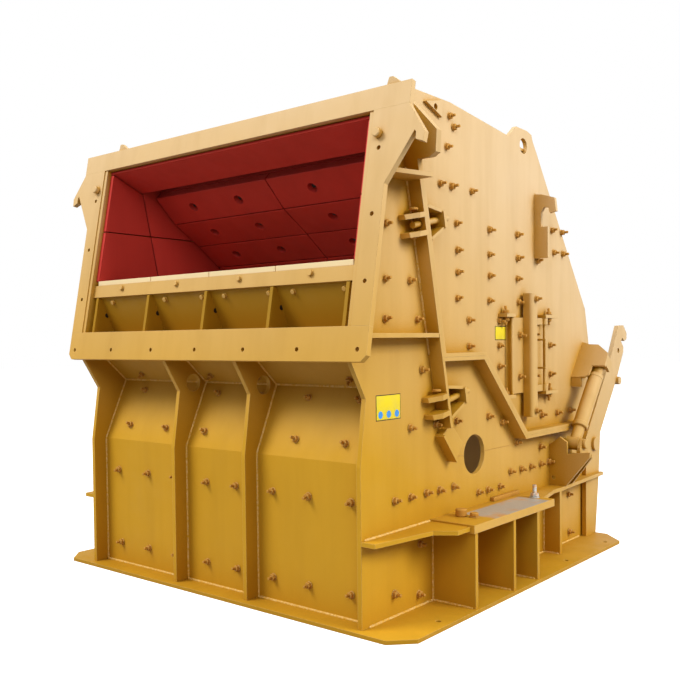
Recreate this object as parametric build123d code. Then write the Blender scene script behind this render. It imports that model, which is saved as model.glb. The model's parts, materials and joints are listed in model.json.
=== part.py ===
"""Horizontal-shaft impact crusher: a lower frame with a raised feed inlet, and a rear housing that tips back.

Millimetres, +Z up, the feed inlet faces -Y, the origin is on the floor under the middle of the machine.
"""
import os
from math import cos, hypot, radians, sin, tan

from build123d import *

# Plate thicknesses
SIDE_T = 25.0
WALL_T = 20.0
RIB_T = 25.0
BASE_T = 20.0
FLANGE_T = 20.0
FRAME_T = 30.0
LINER_T = 28.0
ROOF_T = 16.0
SHELF_T = 22.0
ARM_T = 30.0
EAR_T = 20.0
COVER_T = 16.0

# Running gaps
SEAT_GAP = 0.5
PIN_GAP = 0.5
SIDE_GAP = 10.0
EDGE_GAP = 2.0
LINER_GAP = 6.0

# Corner of an eight-sided outline, as a share of its round end's radius
OCTAGON = 0.7

# Lower frame
SIDE_X = 1060.0
KNEE_Z = 780.0
WAIST_Y = 45.0
WAIST_Z = 1095.0
WALL_SETBACK = 87.0
WALL_WAIST_Y = 243.0
WALL_WAIST_Z = 1138.0
RIB_X = 283.0
RIB_HOLE_R = 50.0
SHAFT_Y = 1016.0
SHAFT_Z = 732.0
SHAFT_HOLE_R = 110.0

# Base ring
BASE_X = 1330.0
BASE_FRONT_Y = -40.0
BASE_REAR_Y = 2565.0
BASE_CHAMFER = 105.0
BASE_REAR_CHAMFER = 150.0
BASE_WINDOW_X = 960.0
ANCHOR_X = 1265.0
ANCHOR_R = 14.0
ANCHOR_YS = (330.0, 1740.0, BASE_REAR_Y - 235.0)
REAR_WALL_Y = BASE_REAR_Y - 125.0

# Heights of the housing and the inlet
ROOF_Z = 2620.0
ROOF_FRONT_Z = ROOF_Z - 60.0
ROOF_REAR_Z = ROOF_Z - 102.0
JOINT_TOP_Z = ROOF_Z - 100.0
OPENING_TOP_Z = ROOF_Z - 180.0

# Inlet frame that leans back
LEAN = 10.5
FRAME_FOOT_Y = -58.0
FRAME_FOOT_Z = 1268.0
OPENING_BOTTOM_Z = 1430.0
WALL_TOP_Z = OPENING_BOTTOM_Z - 38.0
POST_X = 1165.0
WALL_EDGE = 24.0
LINTEL_X = 1265.0
LINTEL_H = 113.0
LINTEL_LUG_XS = (-914.0, 1150.0)
LINTEL_LUG_H = 42.0
FRAME_HOLE_R = 11.0
RAIL_HOLE_PITCH = 370.0
RAIL_HOLE_V = 57.0
POST_HOLE_X = 1112.0
POST_HOLE_PITCH = 315.0
SHELF_LOW_Z = OPENING_BOTTOM_Z - 50.0
SHELF_HIGH_Z = OPENING_TOP_Z - 290.0
ROOF_LINER_DROP = 19.0
ROOF_LINER_REAR_DROP = 112.0

# Toothed head of an inlet post: out from the post's edge, and down from the top of the opening
HEAD_PROFILE = (
    (0.0, 360.0), (143.0, 134.0), (151.0, 144.0), (153.0, 178.0), (195.0, 193.0), (199.0, 146.0),
    (101.0, 8.0),
)

# Joint between inlet and rear housing, and the parting line of the rear housing
JOINT_LEAN = 12.0
JOINT_FOOT_Y = 596.0
PARTING_Z = 1278.0
PARTING_STEP_Y = 1004.0
PARTING_LOW_Z = 797.0
FLANGE_W = 80.0
FLANGE_END_Y = REAR_WALL_Y - 140.0
JOINT_BOTTOM_Z = PARTING_LOW_Z + 119.0
FLANGE_HEAD_X = 1268.0
FLANGE_HEAD_H = 274.0
FLANGE_HEAD_CUT = 155.0

# Rear housing
ROOF_BREAK_Y = 793.0
ROOF_SETBACK = 8.0
ROOF_REAR_Y = 1776.0
BACK_Y = REAR_WALL_Y + 51.0
BACK_Z = 1566.0
BACK_FOOT_Y = REAR_WALL_Y + 112.0
BACK_FOOT_Z = 1316.0
BACK_SETBACK = 12.0

# Lifting lug: along from its hole, and up from the roof
LUG_Y = 1609.0
LUG_Z = ROOF_Z - 92.0
LUG_HOLE_R = 46.0
LUG_PROFILE = ((-184.0, -64.0), (-91.0, 9.0), (42.0, 7.0), (104.0, -7.0), (121.0, -45.0))

# Side pedestals and bearing seats
SHELF_TOP_Z = 435.0
SHELF_NARROW_X = 1200.0
SHELF_WIDE_X = 1298.0
SHELF_REAR_X = 1172.0
SHELF_END_X = 1125.0
SHELF_TAIL = 75.0
SHELF_FLARE = 115.0
SHELF_STEP = 185.0
SEAT_TOP_Z = 444.0
SEAT_T = 42.0
SEAT_X = 1322.0
SEAT_FRONT_Y = 575.0
SEAT_REAR_Y = 1465.0
SEAT_BOLT_R = 16.0
SEAT_BOLT_X = 1213.0
SEAT_BOLT_YS = (755.0, 1432.0)
PEDESTAL_RIB_INSET = 6.0
PEDESTAL_RIB_YS = (592.0, 988.0, 1262.0)
PEDESTAL_REAR_RIB_Y = 1853.0

# Housing hinge
HINGE_Y = REAR_WALL_Y + 100.0
HINGE_Z = 640.0
HINGE_R = 30.0
HINGE_EYE_R = 72.0

# Rear posts with the stop hooks
POST_FRONT_Y = REAR_WALL_Y - 30.0
POST_REAR_Y = BASE_REAR_Y
POST_BEND_Z = HINGE_Z + 50.0
HOOK_FRONT_Y = BASE_REAR_Y + 415.0
HOOK_TOP_Z = 1455.0
HOOK_WIDTH = 95.0
LOCK_HOLE_R = 17.0
LOCK_DROP = 180.0
LOCK_DISC_R = 28.0

# Hook of a rear post: back from the hook's front edge, and down from its top
HOOK_PROFILE = (
    (0.0, 0.0), (HOOK_WIDTH, -4.0), (158.0, 53.0), (158.0, 96.0), (115.0, 112.0), (75.0, 88.0),
    (53.0, 115.0), (HOOK_WIDTH, 155.0), (HOOK_WIDTH, 190.0), (-23.0, 370.0),
)

# Lifting cylinders
CYL_X = 1196.0
ROD_Y = HINGE_Y - 528.0
ROD_Z = 702.0
HEAD_PIN_Y = HINGE_Y - 121.0
HEAD_PIN_Z = 1193.0
BARREL_R = 47.0
ROD_R = 36.0
CYL_PIN_R = 25.0
HEAD_PIN_R = 18.0
HEAD_EYE_GAP = 7.0
HEAD_EYE_R = 38.0
STROKE = 228.0
CYL_EYE_R = 42.0
CYL_EYE_W = 84.0
BARREL_L = 420.0
BARREL_START = 120.0
CHEEK_GAP = 2.0
PLATE_HOLE_R = 12.0

# Upright plates of the rod bracket: across from the side plate, and up from the shelf
ROD_PLATE = (
    (0.0, 0.0), (0.0, 257.0), (72.0, 310.0), (120.0, 279.0), (121.0, 204.0), (273.0, 225.0), (269.0, 192.0),
    (112.0, 0.0),
)
ROD_PLATE_BACK = ((0.0, 0.0), (0.0, 195.0), (230.0, 195.0), (230.0, 172.0), (100.0, 0.0))
ROD_PLATE_Y = ROD_Y - 75.0
ROD_BACK_Y = ROD_Y + 48.0
ROD_SEAT_Z = ROD_Z - 72.0

# Leaning plate of the head bracket: across from the side plate, and along the cylinder from its head pin
HEAD_PLATE = (
    (0.0, -164.0), (95.0, -161.0), (120.0, -137.0), (124.0, -67.0), (210.0, -66.0), (206.0, 16.0),
    (202.0, 42.0), (118.0, 112.0), (54.0, 115.0), (0.0, 135.0),
)
HEAD_PLATE_GAP = 54.0
HEAD_WEB_X = 1170.0
HEAD_WEB_H = 56.0

# Clamps over the joint
CLAMP_Z = JOINT_TOP_Z - 574.0
LOWER_CLAMP_Z = 1045.0
CLAMP_T = 25.0
CLAMP_SPREAD = 32.0
CLAMP_EDGE = 92.0
CLAMP_REACH = 112.0
CLAMP_BACK = 150.0
CLAMP_FLARE = 42.0
CLAMP_TIP = 88.0
CLAMP_BOLT_R = 17.0
CLAMP_HOLE_R = 21.0
CLAMP_NUT_R = 30.0

# Inspection doors
DOOR_FRONT_Y = 1400.0
DOOR_W = 370.0
DOOR_BOTTOM_Z = 1044.0
DOOR_H = 450.0
DOOR_T = 18.0
DOOR_LAP = 40.0
DOOR_BAR_Y = DOOR_FRONT_Y + 160.0
DOOR_BAR_W = 80.0
DOOR_BAR_D = 62.0
DOOR_BAR_R = 24.0
DOOR_BAR_BELOW = 145.0
DOOR_BAR_ABOVE = 146.0
DOOR_PIN_R = 10.0
DOOR_PIN_SET = 30.0
DOOR_KNUCKLE_R = 20.0
DOOR_KNUCKLE_H = 40.0
DOOR_LUG_T = 20.0
DOOR_LUG_REAR = 150.0
DOOR_LUG_FRONT = 92.0
DOOR_LATCH_SET = 17.0

# Impact apron: places of its face, and their heights as shares of the housing's height over the parting line
APRON_X = 995.0
APRON_T = 60.0
APRON_ROW_GAP = 6.0
APRON_YS = (468.0, 628.0, 831.0, 1009.0, 1190.0)
APRON_SHARES = (0.7675, 0.6505, 0.5537, 0.456, 0.3331)
HANGER_R = 45.0
HANGER_EYE_R = 78.0
APRON_RIB_XS = (-880.0, -300.0, 300.0, 880.0)
APRON_RIB_D = 90.0
CARRIER_T = 40.0

# Feed plate
LIP_Z = 1748.0
LIP_H = 76.0
LIP_FLAT = 60.0
FEED_REAR_Y = 560.0
FEED_REAR_Z = 1420.0
LINER_FOOT_SHARE = 0.6
GUSSET_PITCH = 495.0
BAY_DEPTH = 150.0

# Hook plate on the housing's side: out from the side plate, and down from the plate's top
HOOK_PLATE_Y = 1745.0
HOOK_PLATE_Z = ROOF_Z - 365.0
HOOK_PLATE = (
    (0.0, 0.0), (50.0, 5.0), (135.0, 33.0), (145.0, 115.0), (103.0, 123.0), (95.0, 90.0), (65.0, 83.0),
    (46.0, 115.0), (46.0, 203.0), (90.0, 203.0), (90.0, 393.0), (0.0, 393.0),
)

# Guard box over the shaft hole: along from the hole's centre, and up from it
GUARD_PROFILE = (
    (-396.0, 136.0), (-340.0, 173.0), (-275.0, 172.0), (-192.0, 86.0), (-218.0, 43.0), (-273.0, -9.0),
)
GUARD_LIP = ((-396.0, 136.0), (-387.0, 146.0), (-264.0, 1.0), (-273.0, -9.0))
GUARD_W = 42.0
GUARD_LIP_W = 58.0

# Three-cornered ear with a hole on the housing's side: back from the joint, and down from the roof
EAR_PROFILE = ((215.0, 48.0), (370.0, 13.0), (362.0, 102.0))
EAR_HOLE_Y = 302.0
EAR_HOLE_DROP = 60.0
EAR_HOLE_R = 16.0


def frame_y(z):
    """Back face of the leaning inlet frame at height z."""
    return FRAME_FOOT_Y + (z - FRAME_FOOT_Z) * tan(radians(LEAN))


def joint_y(z):
    """Joint plane between the inlet and the rear housing at height z."""
    return JOINT_FOOT_Y - (z - PARTING_Z) * tan(radians(JOINT_LEAN))


PARTING_LOW_Y = PARTING_STEP_Y + (PARTING_Z - PARTING_LOW_Z)
HOOK_TIP_Y = HOOK_FRONT_Y + max(back for back, _ in HOOK_PROFILE)
PLAN_MIDDLE_Y = (FRAME_FOOT_Y - FRAME_T * cos(radians(LEAN)) + HOOK_TIP_Y) / 2
APRON_LINE = [(y, PARTING_Z + share * (ROOF_Z - PARTING_Z)) for y, share in zip(APRON_YS, APRON_SHARES)]


def closed(points):
    """Flat face inside a closed outline."""
    return make_face(Polyline(*points, close=True))


def rectangle(low, high, bottom, top):
    """Corners of a rectangle in the plane it is drawn on."""
    return [(low, bottom), (high, bottom), (high, top), (low, top)]


def slab_x(points, x_low, thickness):
    """Plate in the YZ plane, extruded towards +X."""
    return extrude(Plane.YZ.offset(x_low) * closed(points), amount=thickness)


def slab_y(points, y_low, thickness):
    """Plate in the XZ plane, extruded towards +Y."""
    plane = Plane(origin=(0, y_low, 0), x_dir=(1, 0, 0), z_dir=(0, -1, 0))
    return extrude(plane * closed(points), amount=-thickness)


def slab_z(points, z_low, thickness):
    """Plate in the XY plane, extruded upwards."""
    return extrude(Plane.XY.offset(z_low) * closed(points), amount=thickness)


def rod_x(y, z, radius, x_low, x_high):
    """Round bar along X."""
    return extrude(Plane.YZ.offset(x_low) * Pos(y, z) * Circle(radius), amount=x_high - x_low)


def rod_z(x, y, radius, z_low, z_high):
    """Round bar along Z."""
    return extrude(Plane.XY.offset(z_low) * Pos(x, y) * Circle(radius), amount=z_high - z_low)


def offset_path(path, distance):
    """Path moved sideways, to the left of its direction of travel, with mitred corners."""
    normals = []
    for start, end in zip(path, path[1:]):
        length = hypot(end[0] - start[0], end[1] - start[1])
        normals.append(((start[1] - end[1]) / length, (end[0] - start[0]) / length))
    moved = []
    for index, point in enumerate(path):
        before = normals[max(index - 1, 0)]
        after = normals[min(index, len(normals) - 1)]
        scale = distance / (1 + before[0] * after[0] + before[1] * after[1])
        moved.append((point[0] + (before[0] + after[0]) * scale, point[1] + (before[1] + after[1]) * scale))
    return moved


def band(path, thickness, start=0.0):
    """Outline of a plate that follows a path, on the left of its direction of travel."""
    return offset_path(path, start) + offset_path(path, start + thickness)[::-1]


def inlet_plane():
    """Back face of the inlet frame, its normal towards the feed side."""
    lean = radians(LEAN)
    origin = (0, FRAME_FOOT_Y, FRAME_FOOT_Z)
    return Plane(origin=origin, x_dir=(1, 0, 0), z_dir=(0, -cos(lean), sin(lean)))


def slope_height(z):
    """Distance up the leaning frame that reaches height z."""
    return (z - FRAME_FOOT_Z) / cos(radians(LEAN))


def frame_slab(points, thickness=FRAME_T):
    """Plate on the leaning inlet frame."""
    return extrude(inlet_plane() * closed(points), amount=thickness)


def frame_hole(x, v):
    """Bolt hole through the leaning frame plate."""
    return extrude(inlet_plane() * Pos(x, v) * Circle(FRAME_HOLE_R), amount=FRAME_T)


def both_sides(part):
    """The part and its mirror image across the machine."""
    return [part, mirror(part, Plane.YZ)]


def pair(*parts):
    """One compound of separate solids: each part and its mirror image."""
    solids = []
    for part in parts:
        for side in both_sides(part):
            solids += side.solids()
    return Compound(solids)


def parting_path():
    """Parting line of the rear housing, from the inlet joint to its rear end."""
    return [
        (joint_y(PARTING_Z), PARTING_Z),
        (PARTING_STEP_Y, PARTING_Z),
        (PARTING_LOW_Y, PARTING_LOW_Z),
        (FLANGE_END_Y, PARTING_LOW_Z),
    ]


# Lower frame

def base_frame():
    """Base ring with chamfered corners, anchor holes and the discharge window."""
    cut, rear_cut = BASE_CHAMFER, BASE_REAR_CHAMFER
    half = [
        (BASE_X - cut, BASE_FRONT_Y), (BASE_X, BASE_FRONT_Y + cut), (BASE_X, BASE_REAR_Y - rear_cut),
        (BASE_X - rear_cut, BASE_REAR_Y),
    ]
    ring = slab_z(half + [(-x, y) for x, y in half[::-1]], 0, BASE_T)
    window_rear = REAR_WALL_Y - WALL_T - FLANGE_W
    ring -= slab_z(rectangle(-BASE_WINDOW_X, BASE_WINDOW_X, 2 * WALL_SETBACK, window_rear), 0, BASE_T)
    for y in ANCHOR_YS:
        for x in (-ANCHOR_X, ANCHOR_X):
            ring -= rod_z(x, y, ANCHOR_R, 0, BASE_T)
    return ring


def side_outline():
    """Outline of a side plate of the lower frame, with the inlet wall that reaches into the inlet frame."""
    lean = radians(LEAN)
    reach_y, reach_z = -WALL_EDGE * cos(lean), WALL_EDGE * sin(lean)
    low, high = OPENING_BOTTOM_Z, OPENING_TOP_Z
    return [
        (0, BASE_T), (0, KNEE_Z), (WAIST_Y, WAIST_Z), (FRAME_FOOT_Y, FRAME_FOOT_Z), (frame_y(low), low),
        (frame_y(low) + reach_y, low + reach_z), (frame_y(high) + reach_y, high + reach_z), (frame_y(high), high),
        (joint_y(high), high), (joint_y(PARTING_Z), PARTING_Z), (PARTING_STEP_Y, PARTING_Z),
        (PARTING_LOW_Y, PARTING_LOW_Z), (REAR_WALL_Y, PARTING_LOW_Z), (REAR_WALL_Y, BASE_T),
    ]


def side_plate():
    plate = slab_x(side_outline(), SIDE_X - SIDE_T, SIDE_T)
    return plate - rod_x(SHAFT_Y, SHAFT_Z, SHAFT_HOLE_R, SIDE_X - SIDE_T, SIDE_X)


def front_wall_path():
    """Outer face of the bent front wall, from the base to the back of the inlet rail."""
    return [
        (WALL_SETBACK, BASE_T), (WALL_SETBACK, KNEE_Z), (WALL_WAIST_Y, WALL_WAIST_Z),
        (frame_y(WALL_TOP_Z), WALL_TOP_Z),
    ]


def front_wall():
    inner_x = SIDE_X - SIDE_T
    return slab_x(band(front_wall_path(), -WALL_T), -inner_x, 2 * inner_x)


def front_ribs():
    """Two upright ribs in front of the front wall, each with a round hole behind its knee."""
    outline = [(0, BASE_T), (0, KNEE_Z), (WAIST_Y, WAIST_Z), (FRAME_FOOT_Y, FRAME_FOOT_Z)]
    outline += front_wall_path()[::-1]
    rib = slab_x(outline, RIB_X - RIB_T / 2, RIB_T)
    rib -= rod_x((WAIST_Y + WALL_WAIST_Y) / 2, WALL_WAIST_Z, RIB_HOLE_R, RIB_X - RIB_T / 2, RIB_X + RIB_T / 2)
    return pair(rib)


def rear_wall():
    inner_x = SIDE_X - SIDE_T
    profile = [
        (REAR_WALL_Y, BASE_T), (REAR_WALL_Y, PARTING_LOW_Z), (REAR_WALL_Y - FLANGE_W, PARTING_LOW_Z),
        (REAR_WALL_Y - FLANGE_W, PARTING_LOW_Z - FLANGE_T), (REAR_WALL_Y - WALL_T, PARTING_LOW_Z - FLANGE_T),
        (REAR_WALL_Y - WALL_T, BASE_T),
    ]
    return slab_x(profile, -inner_x, 2 * inner_x)


def flange_head(start, thickness):
    """Wide head of a joint flange, with its corner cut."""
    low_z = JOINT_TOP_Z - FLANGE_HEAD_H
    outline = [
        (SIDE_X, JOINT_TOP_Z), (SIDE_X + FLANGE_W, JOINT_TOP_Z), (FLANGE_HEAD_X, JOINT_TOP_Z - FLANGE_HEAD_CUT),
        (FLANGE_HEAD_X - FLANGE_T, low_z + FLANGE_T), (FLANGE_HEAD_X - 3 * FLANGE_T, low_z), (SIDE_X, low_z),
    ]
    line = [(joint_y(low_z), low_z), (joint_y(JOINT_TOP_Z), JOINT_TOP_Z)]
    wide = slab_x(band(line, thickness, start), SIDE_X, FLANGE_HEAD_X - SIDE_X)
    return wide & slab_y(outline, 0, REAR_WALL_Y)


def frame_flange():
    """Outside flange of the fixed frame: up the inlet joint and along the parting line."""
    joint = [(joint_y(JOINT_BOTTOM_Z), JOINT_BOTTOM_Z), (joint_y(JOINT_TOP_Z), JOINT_TOP_Z)]
    strip = slab_x(band(joint, FLANGE_T), SIDE_X, FLANGE_W)
    parting = slab_x(band(parting_path(), -FLANGE_T), SIDE_X, FLANGE_W)
    return strip + flange_head(0, FLANGE_T) + parting - bolt_bar(CLAMP_Z, CLAMP_HOLE_R, -2 * FLANGE_T, 0)


def housing_flange():
    """Outside flange of the rear housing, seated on the fixed one."""
    foot = PARTING_Z + SEAT_GAP
    joint = [(joint_y(PARTING_Z), PARTING_Z), (joint_y(JOINT_TOP_Z), JOINT_TOP_Z)]
    top = JOINT_TOP_Z + FLANGE_W
    keep = slab_y([(SIDE_X, foot), (FLANGE_HEAD_X, foot), (FLANGE_HEAD_X, top), (SIDE_X, top)], 0, REAR_WALL_Y)
    strip = slab_x(band(joint, -FLANGE_T, -SEAT_GAP), SIDE_X, FLANGE_W) & keep
    behind = [
        (joint_y(PARTING_Z) + SEAT_GAP / cos(radians(JOINT_LEAN)), PARTING_Z),
        (PARTING_STEP_Y, PARTING_Z), (PARTING_LOW_Y, PARTING_LOW_Z), (FLANGE_END_Y, PARTING_LOW_Z),
    ]
    parting = slab_x(band(behind, FLANGE_T, SEAT_GAP), SIDE_X, FLANGE_W)
    flange = strip + flange_head(-SEAT_GAP, -FLANGE_T) + parting
    return flange - bolt_bar(CLAMP_Z, CLAMP_HOLE_R, 0, 2 * FLANGE_T)


# Side pedestals

def pedestal():
    """Shelf beside the frame with the ribs that carry it."""
    low = SHELF_TOP_Z - SHELF_T
    front = slab_z([
        (SIDE_X, 0), (SIDE_X + FLANGE_W, 0), (SHELF_NARROW_X, SEAT_FRONT_Y - SHELF_STEP),
        (SHELF_WIDE_X, SEAT_FRONT_Y - SHELF_FLARE), (SHELF_WIDE_X, SEAT_FRONT_Y), (SIDE_X, SEAT_FRONT_Y),
    ], low, SHELF_T)
    arm_x = SIDE_X + SIDE_GAP + ARM_T
    rear = slab_z([
        (SIDE_X, SEAT_REAR_Y), (SEAT_X - FLANGE_W, SEAT_REAR_Y), (SHELF_REAR_X, PEDESTAL_REAR_RIB_Y - FLANGE_W),
        (SHELF_REAR_X, PEDESTAL_REAR_RIB_Y + RIB_T), (SHELF_END_X, BASE_REAR_Y + SHELF_TAIL),
        (arm_x, BASE_REAR_Y + SHELF_TAIL), (arm_x, POST_FRONT_Y), (SIDE_X, POST_FRONT_Y),
    ], low, SHELF_T)
    rib_x = SEAT_X - PEDESTAL_RIB_INSET
    under_seat = SEAT_TOP_Z - SEAT_T
    ribs = []
    for y in PEDESTAL_RIB_YS:
        ribs.append(slab_y(rectangle(SIDE_X, rib_x, BASE_T, under_seat), y, RIB_T))
    ribs.append(slab_y(rectangle(SIDE_X, SHELF_REAR_X, BASE_T, low), PEDESTAL_REAR_RIB_Y, RIB_T))
    return Compound([front.solid(), rear.solid()] + [rib.solid() for rib in ribs])


def bearing_seat():
    """Thick machined plate that the shaft bearing is bolted to."""
    seat = slab_z(rectangle(SIDE_X, SEAT_X, SEAT_FRONT_Y, SEAT_REAR_Y), SEAT_TOP_Z - SEAT_T, SEAT_T)
    for y in SEAT_BOLT_YS:
        seat -= rod_z(SEAT_BOLT_X, y, SEAT_BOLT_R, SEAT_TOP_Z - SEAT_T, SEAT_TOP_Z)
    return seat


# Rear posts and hinge

def rear_post():
    """Post outside the rear corner that leans back into a stop hook."""
    low = SIDE_X + SIDE_GAP
    hook = [(HOOK_FRONT_Y + back, HOOK_TOP_Z - down) for back, down in HOOK_PROFILE]
    outline = [
        (POST_FRONT_Y, BASE_T), (POST_FRONT_Y, POST_BEND_Z),
        (HOOK_FRONT_Y - HOOK_WIDTH - ARM_T, HOOK_TOP_Z - 7 * ARM_T),
    ] + hook + [
        (POST_REAR_Y + HOOK_WIDTH - SIDE_GAP, POST_BEND_Z + EAR_T), (POST_REAR_Y + 2 * ARM_T, SHELF_TOP_Z),
        (POST_REAR_Y, BASE_T),
    ]
    post = slab_x(outline, low, ARM_T)
    disc_y, disc_z = hook[-1]
    post += rod_x(disc_y, disc_z - LOCK_DISC_R, LOCK_DISC_R, low, low + ARM_T + EAR_T)
    post -= rod_x(HINGE_Y, HINGE_Z, HINGE_R, low, low + ARM_T)
    post -= rod_x(HOOK_FRONT_Y, HOOK_TOP_Z - LOCK_DROP, LOCK_HOLE_R, low, low + ARM_T)
    pad_y = POST_FRONT_Y - 2 * ARM_T
    return post + slab_x(rectangle(pad_y, REAR_WALL_Y, SHELF_TOP_Z, POST_BEND_Z), SIDE_X, SIDE_GAP)


def hinge_brackets():
    """Supports behind the rear wall, each with the housing's hinge pin and its disc head outside the post."""
    low = SIDE_X - SIDE_T - SIDE_GAP - ARM_T
    high = SIDE_X + SIDE_GAP + ARM_T
    outline = [
        (REAR_WALL_Y, HINGE_Z - 2 * HINGE_EYE_R), (REAR_WALL_Y, HINGE_Z + 2 * HINGE_R),
        (HINGE_Y, HINGE_Z + 2 * HINGE_R), (HINGE_Y + 2 * HINGE_R, HINGE_Z),
        (HINGE_Y + HINGE_R, HINGE_Z - 2 * HINGE_R),
    ]
    support = slab_x(outline, low, ARM_T)
    pin = rod_x(HINGE_Y, HINGE_Z, HINGE_R, low, high)
    head = rod_x(HINGE_Y, HINGE_Z, 1.5 * HINGE_R, high, high + EAR_T)
    return pair(support + pin + head)


# Inlet

def inlet_rail():
    top = slope_height(OPENING_BOTTOM_Z)
    cut = FRAME_T
    outline = [
        (-POST_X + cut, 0), (POST_X - cut, 0), (POST_X, cut), (POST_X, top), (-POST_X, top), (-POST_X, cut),
    ]
    rail = frame_slab(outline)
    for step in range(-3, 4):
        rail -= frame_hole(step * RAIL_HOLE_PITCH, RAIL_HOLE_V)
    return rail


def inlet_post():
    """Post of the inlet frame, widening into a toothed head."""
    low, high = slope_height(OPENING_BOTTOM_Z), slope_height(OPENING_TOP_Z)
    head = [(POST_X + out, slope_height(OPENING_TOP_Z - down)) for out, down in HEAD_PROFILE]
    post = frame_slab([(SIDE_X, low), (POST_X, low)] + head + [(head[-1][0], high), (SIDE_X, high)])
    for step in range(1, 4):
        post -= frame_hole(POST_HOLE_X, RAIL_HOLE_V + step * POST_HOLE_PITCH)
    return post


def lintel():
    """Channel beam over the feed opening: flanges reach back to the joint, and two lugs stand on top."""
    low = slope_height(OPENING_TOP_Z)
    beam = frame_slab(rectangle(-LINTEL_X, LINTEL_X, low, low + LINTEL_H))
    top_z = OPENING_TOP_Z + LINTEL_H * cos(radians(LEAN))
    for z in (OPENING_TOP_Z, top_z - FLANGE_T):
        rear = joint_y(z + FLANGE_T) - SEAT_GAP
        outline = [(frame_y(z), z), (frame_y(z + FLANGE_T), z + FLANGE_T), (rear, z + FLANGE_T), (rear, z)]
        beam += slab_x(outline, -SIDE_X, 2 * SIDE_X)
    for x in LINTEL_LUG_XS:
        half = LINTEL_LUG_H
        outline = [
            (x - half, top_z - SIDE_GAP), (x - half / 2, top_z + half), (x, top_z + half),
            (x + half, top_z + SIDE_GAP), (x + half, top_z - SIDE_GAP),
        ]
        beam += slab_y(outline, frame_y(top_z) - FRAME_T + SIDE_GAP, FLANGE_T)
    return beam


def inlet_roof():
    """Sloped lined roof of the inlet, behind the lintel."""
    front_z, rear_z = OPENING_TOP_Z - ROOF_LINER_DROP, OPENING_TOP_Z - ROOF_LINER_REAR_DROP
    inner_x = SIDE_X - SIDE_T
    underside = [(frame_y(front_z), front_z), (joint_y(rear_z), rear_z)]
    return slab_x(band(underside, ROOF_T), -inner_x, 2 * inner_x)


def inlet_liners():
    """Liners of the two inlet walls."""
    front_z = OPENING_TOP_Z - ROOF_LINER_DROP - LINER_GAP
    rear_z = OPENING_TOP_Z - ROOF_LINER_REAR_DROP - LINER_GAP
    foot_z = FEED_REAR_Z + LIP_H
    outline = [
        (frame_y(LIP_Z) + EDGE_GAP, LIP_Z + EDGE_GAP), (frame_y(front_z) + EDGE_GAP, front_z),
        (joint_y(rear_z), rear_z), (joint_y(LIP_Z), LIP_Z), (joint_y(foot_z) - LIP_FLAT, foot_z),
        (FEED_REAR_Y * LINER_FOOT_SHARE, foot_z + LIP_H),
    ]
    return pair(slab_x(outline, SIDE_X - SIDE_T - LINER_T, LINER_T))


def feed_path():
    """Upper face of the feed plate, from its lip down towards the rotor."""
    return [(frame_y(LIP_Z), LIP_Z), (frame_y(LIP_Z) + LIP_FLAT, LIP_Z), (FEED_REAR_Y, FEED_REAR_Z)]


def feed_plate():
    inner_x = SIDE_X - SIDE_T - LINER_T
    return slab_x(band(feed_path(), -LINER_T), -inner_x, 2 * inner_x)


def feed_lip():
    """Front face of the feed plate, over the gussets."""
    inner_x = SIDE_X - SIDE_T
    low_z, high_z = bay_top() + 2 * EDGE_GAP, LIP_Z - LINER_T
    return slab_x(band([(frame_y(low_z), low_z), (frame_y(high_z), high_z)], -WALL_T), -inner_x, 2 * inner_x)


def bay_top():
    """Height of the underside of the feed lip."""
    return LIP_Z - LIP_H - LINER_T


def bay_wall():
    """Recessed floor and wall behind the gussets."""
    inner_x = SIDE_X - SIDE_T
    bottom = OPENING_BOTTOM_Z
    path = [
        (frame_y(bottom), bottom), (frame_y(bottom) + BAY_DEPTH, bottom),
        (frame_y(bay_top()) + WALL_T, bay_top()),
    ]
    return slab_x(band(path, -WALL_T), -inner_x, 2 * inner_x)


def bay_gussets():
    """Upright gussets under the feed lip."""
    top = bay_top()
    bottom = OPENING_BOTTOM_Z
    solids = []
    for step in range(-2, 3):
        x = step * GUSSET_PITCH
        outline = [
            (frame_y(bottom), bottom), (frame_y(top), top), (frame_y(top) + WALL_T, top),
            (frame_y(bottom) + BAY_DEPTH, bottom),
        ]
        solids.append(slab_x(outline, x - WALL_T / 2, WALL_T).solid())
    return Compound(solids)


def inlet_shelves():
    """Gusset shelves between the inlet posts and the joint flange."""
    shelves = []
    for z, width in ((SHELF_LOW_Z, SIDE_X + FLANGE_W), (SHELF_HIGH_Z, SIDE_X + 2 * FLANGE_W)):
        outline = [
            (SIDE_X, frame_y(z + SHELF_T)), (POST_X - FLANGE_T, frame_y(z + SHELF_T)),
            (width, joint_y(z) - 2 * FLANGE_T), (width, joint_y(z + SHELF_T) - FLANGE_T - EDGE_GAP),
            (SIDE_X, joint_y(z + SHELF_T) - FLANGE_T - EDGE_GAP),
        ]
        shelves.append(slab_z(outline, z, SHELF_T))
    return pair(*shelves)


# Clamps

def across_joint(z, start, end, offset=0.0):
    """Line through the joint at height z, square to it, from start in front of it to end behind it."""
    lean = radians(JOINT_LEAN)
    y, height = joint_y(z) - offset * sin(lean), z + offset * cos(lean)
    return [(y + place * cos(lean), height + place * sin(lean)) for place in (start, end)]


def bolt_bar(z, radius, start, end):
    """Round bar across the joint."""
    lean = radians(JOINT_LEAN)
    (y, height), _ = across_joint(z, start, end)
    plane = Plane(origin=(SIDE_X + FLANGE_W / 2, y, height), x_dir=(1, 0, 0), z_dir=(0, cos(lean), sin(lean)))
    return extrude(plane * Circle(radius), amount=end - start)


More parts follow.
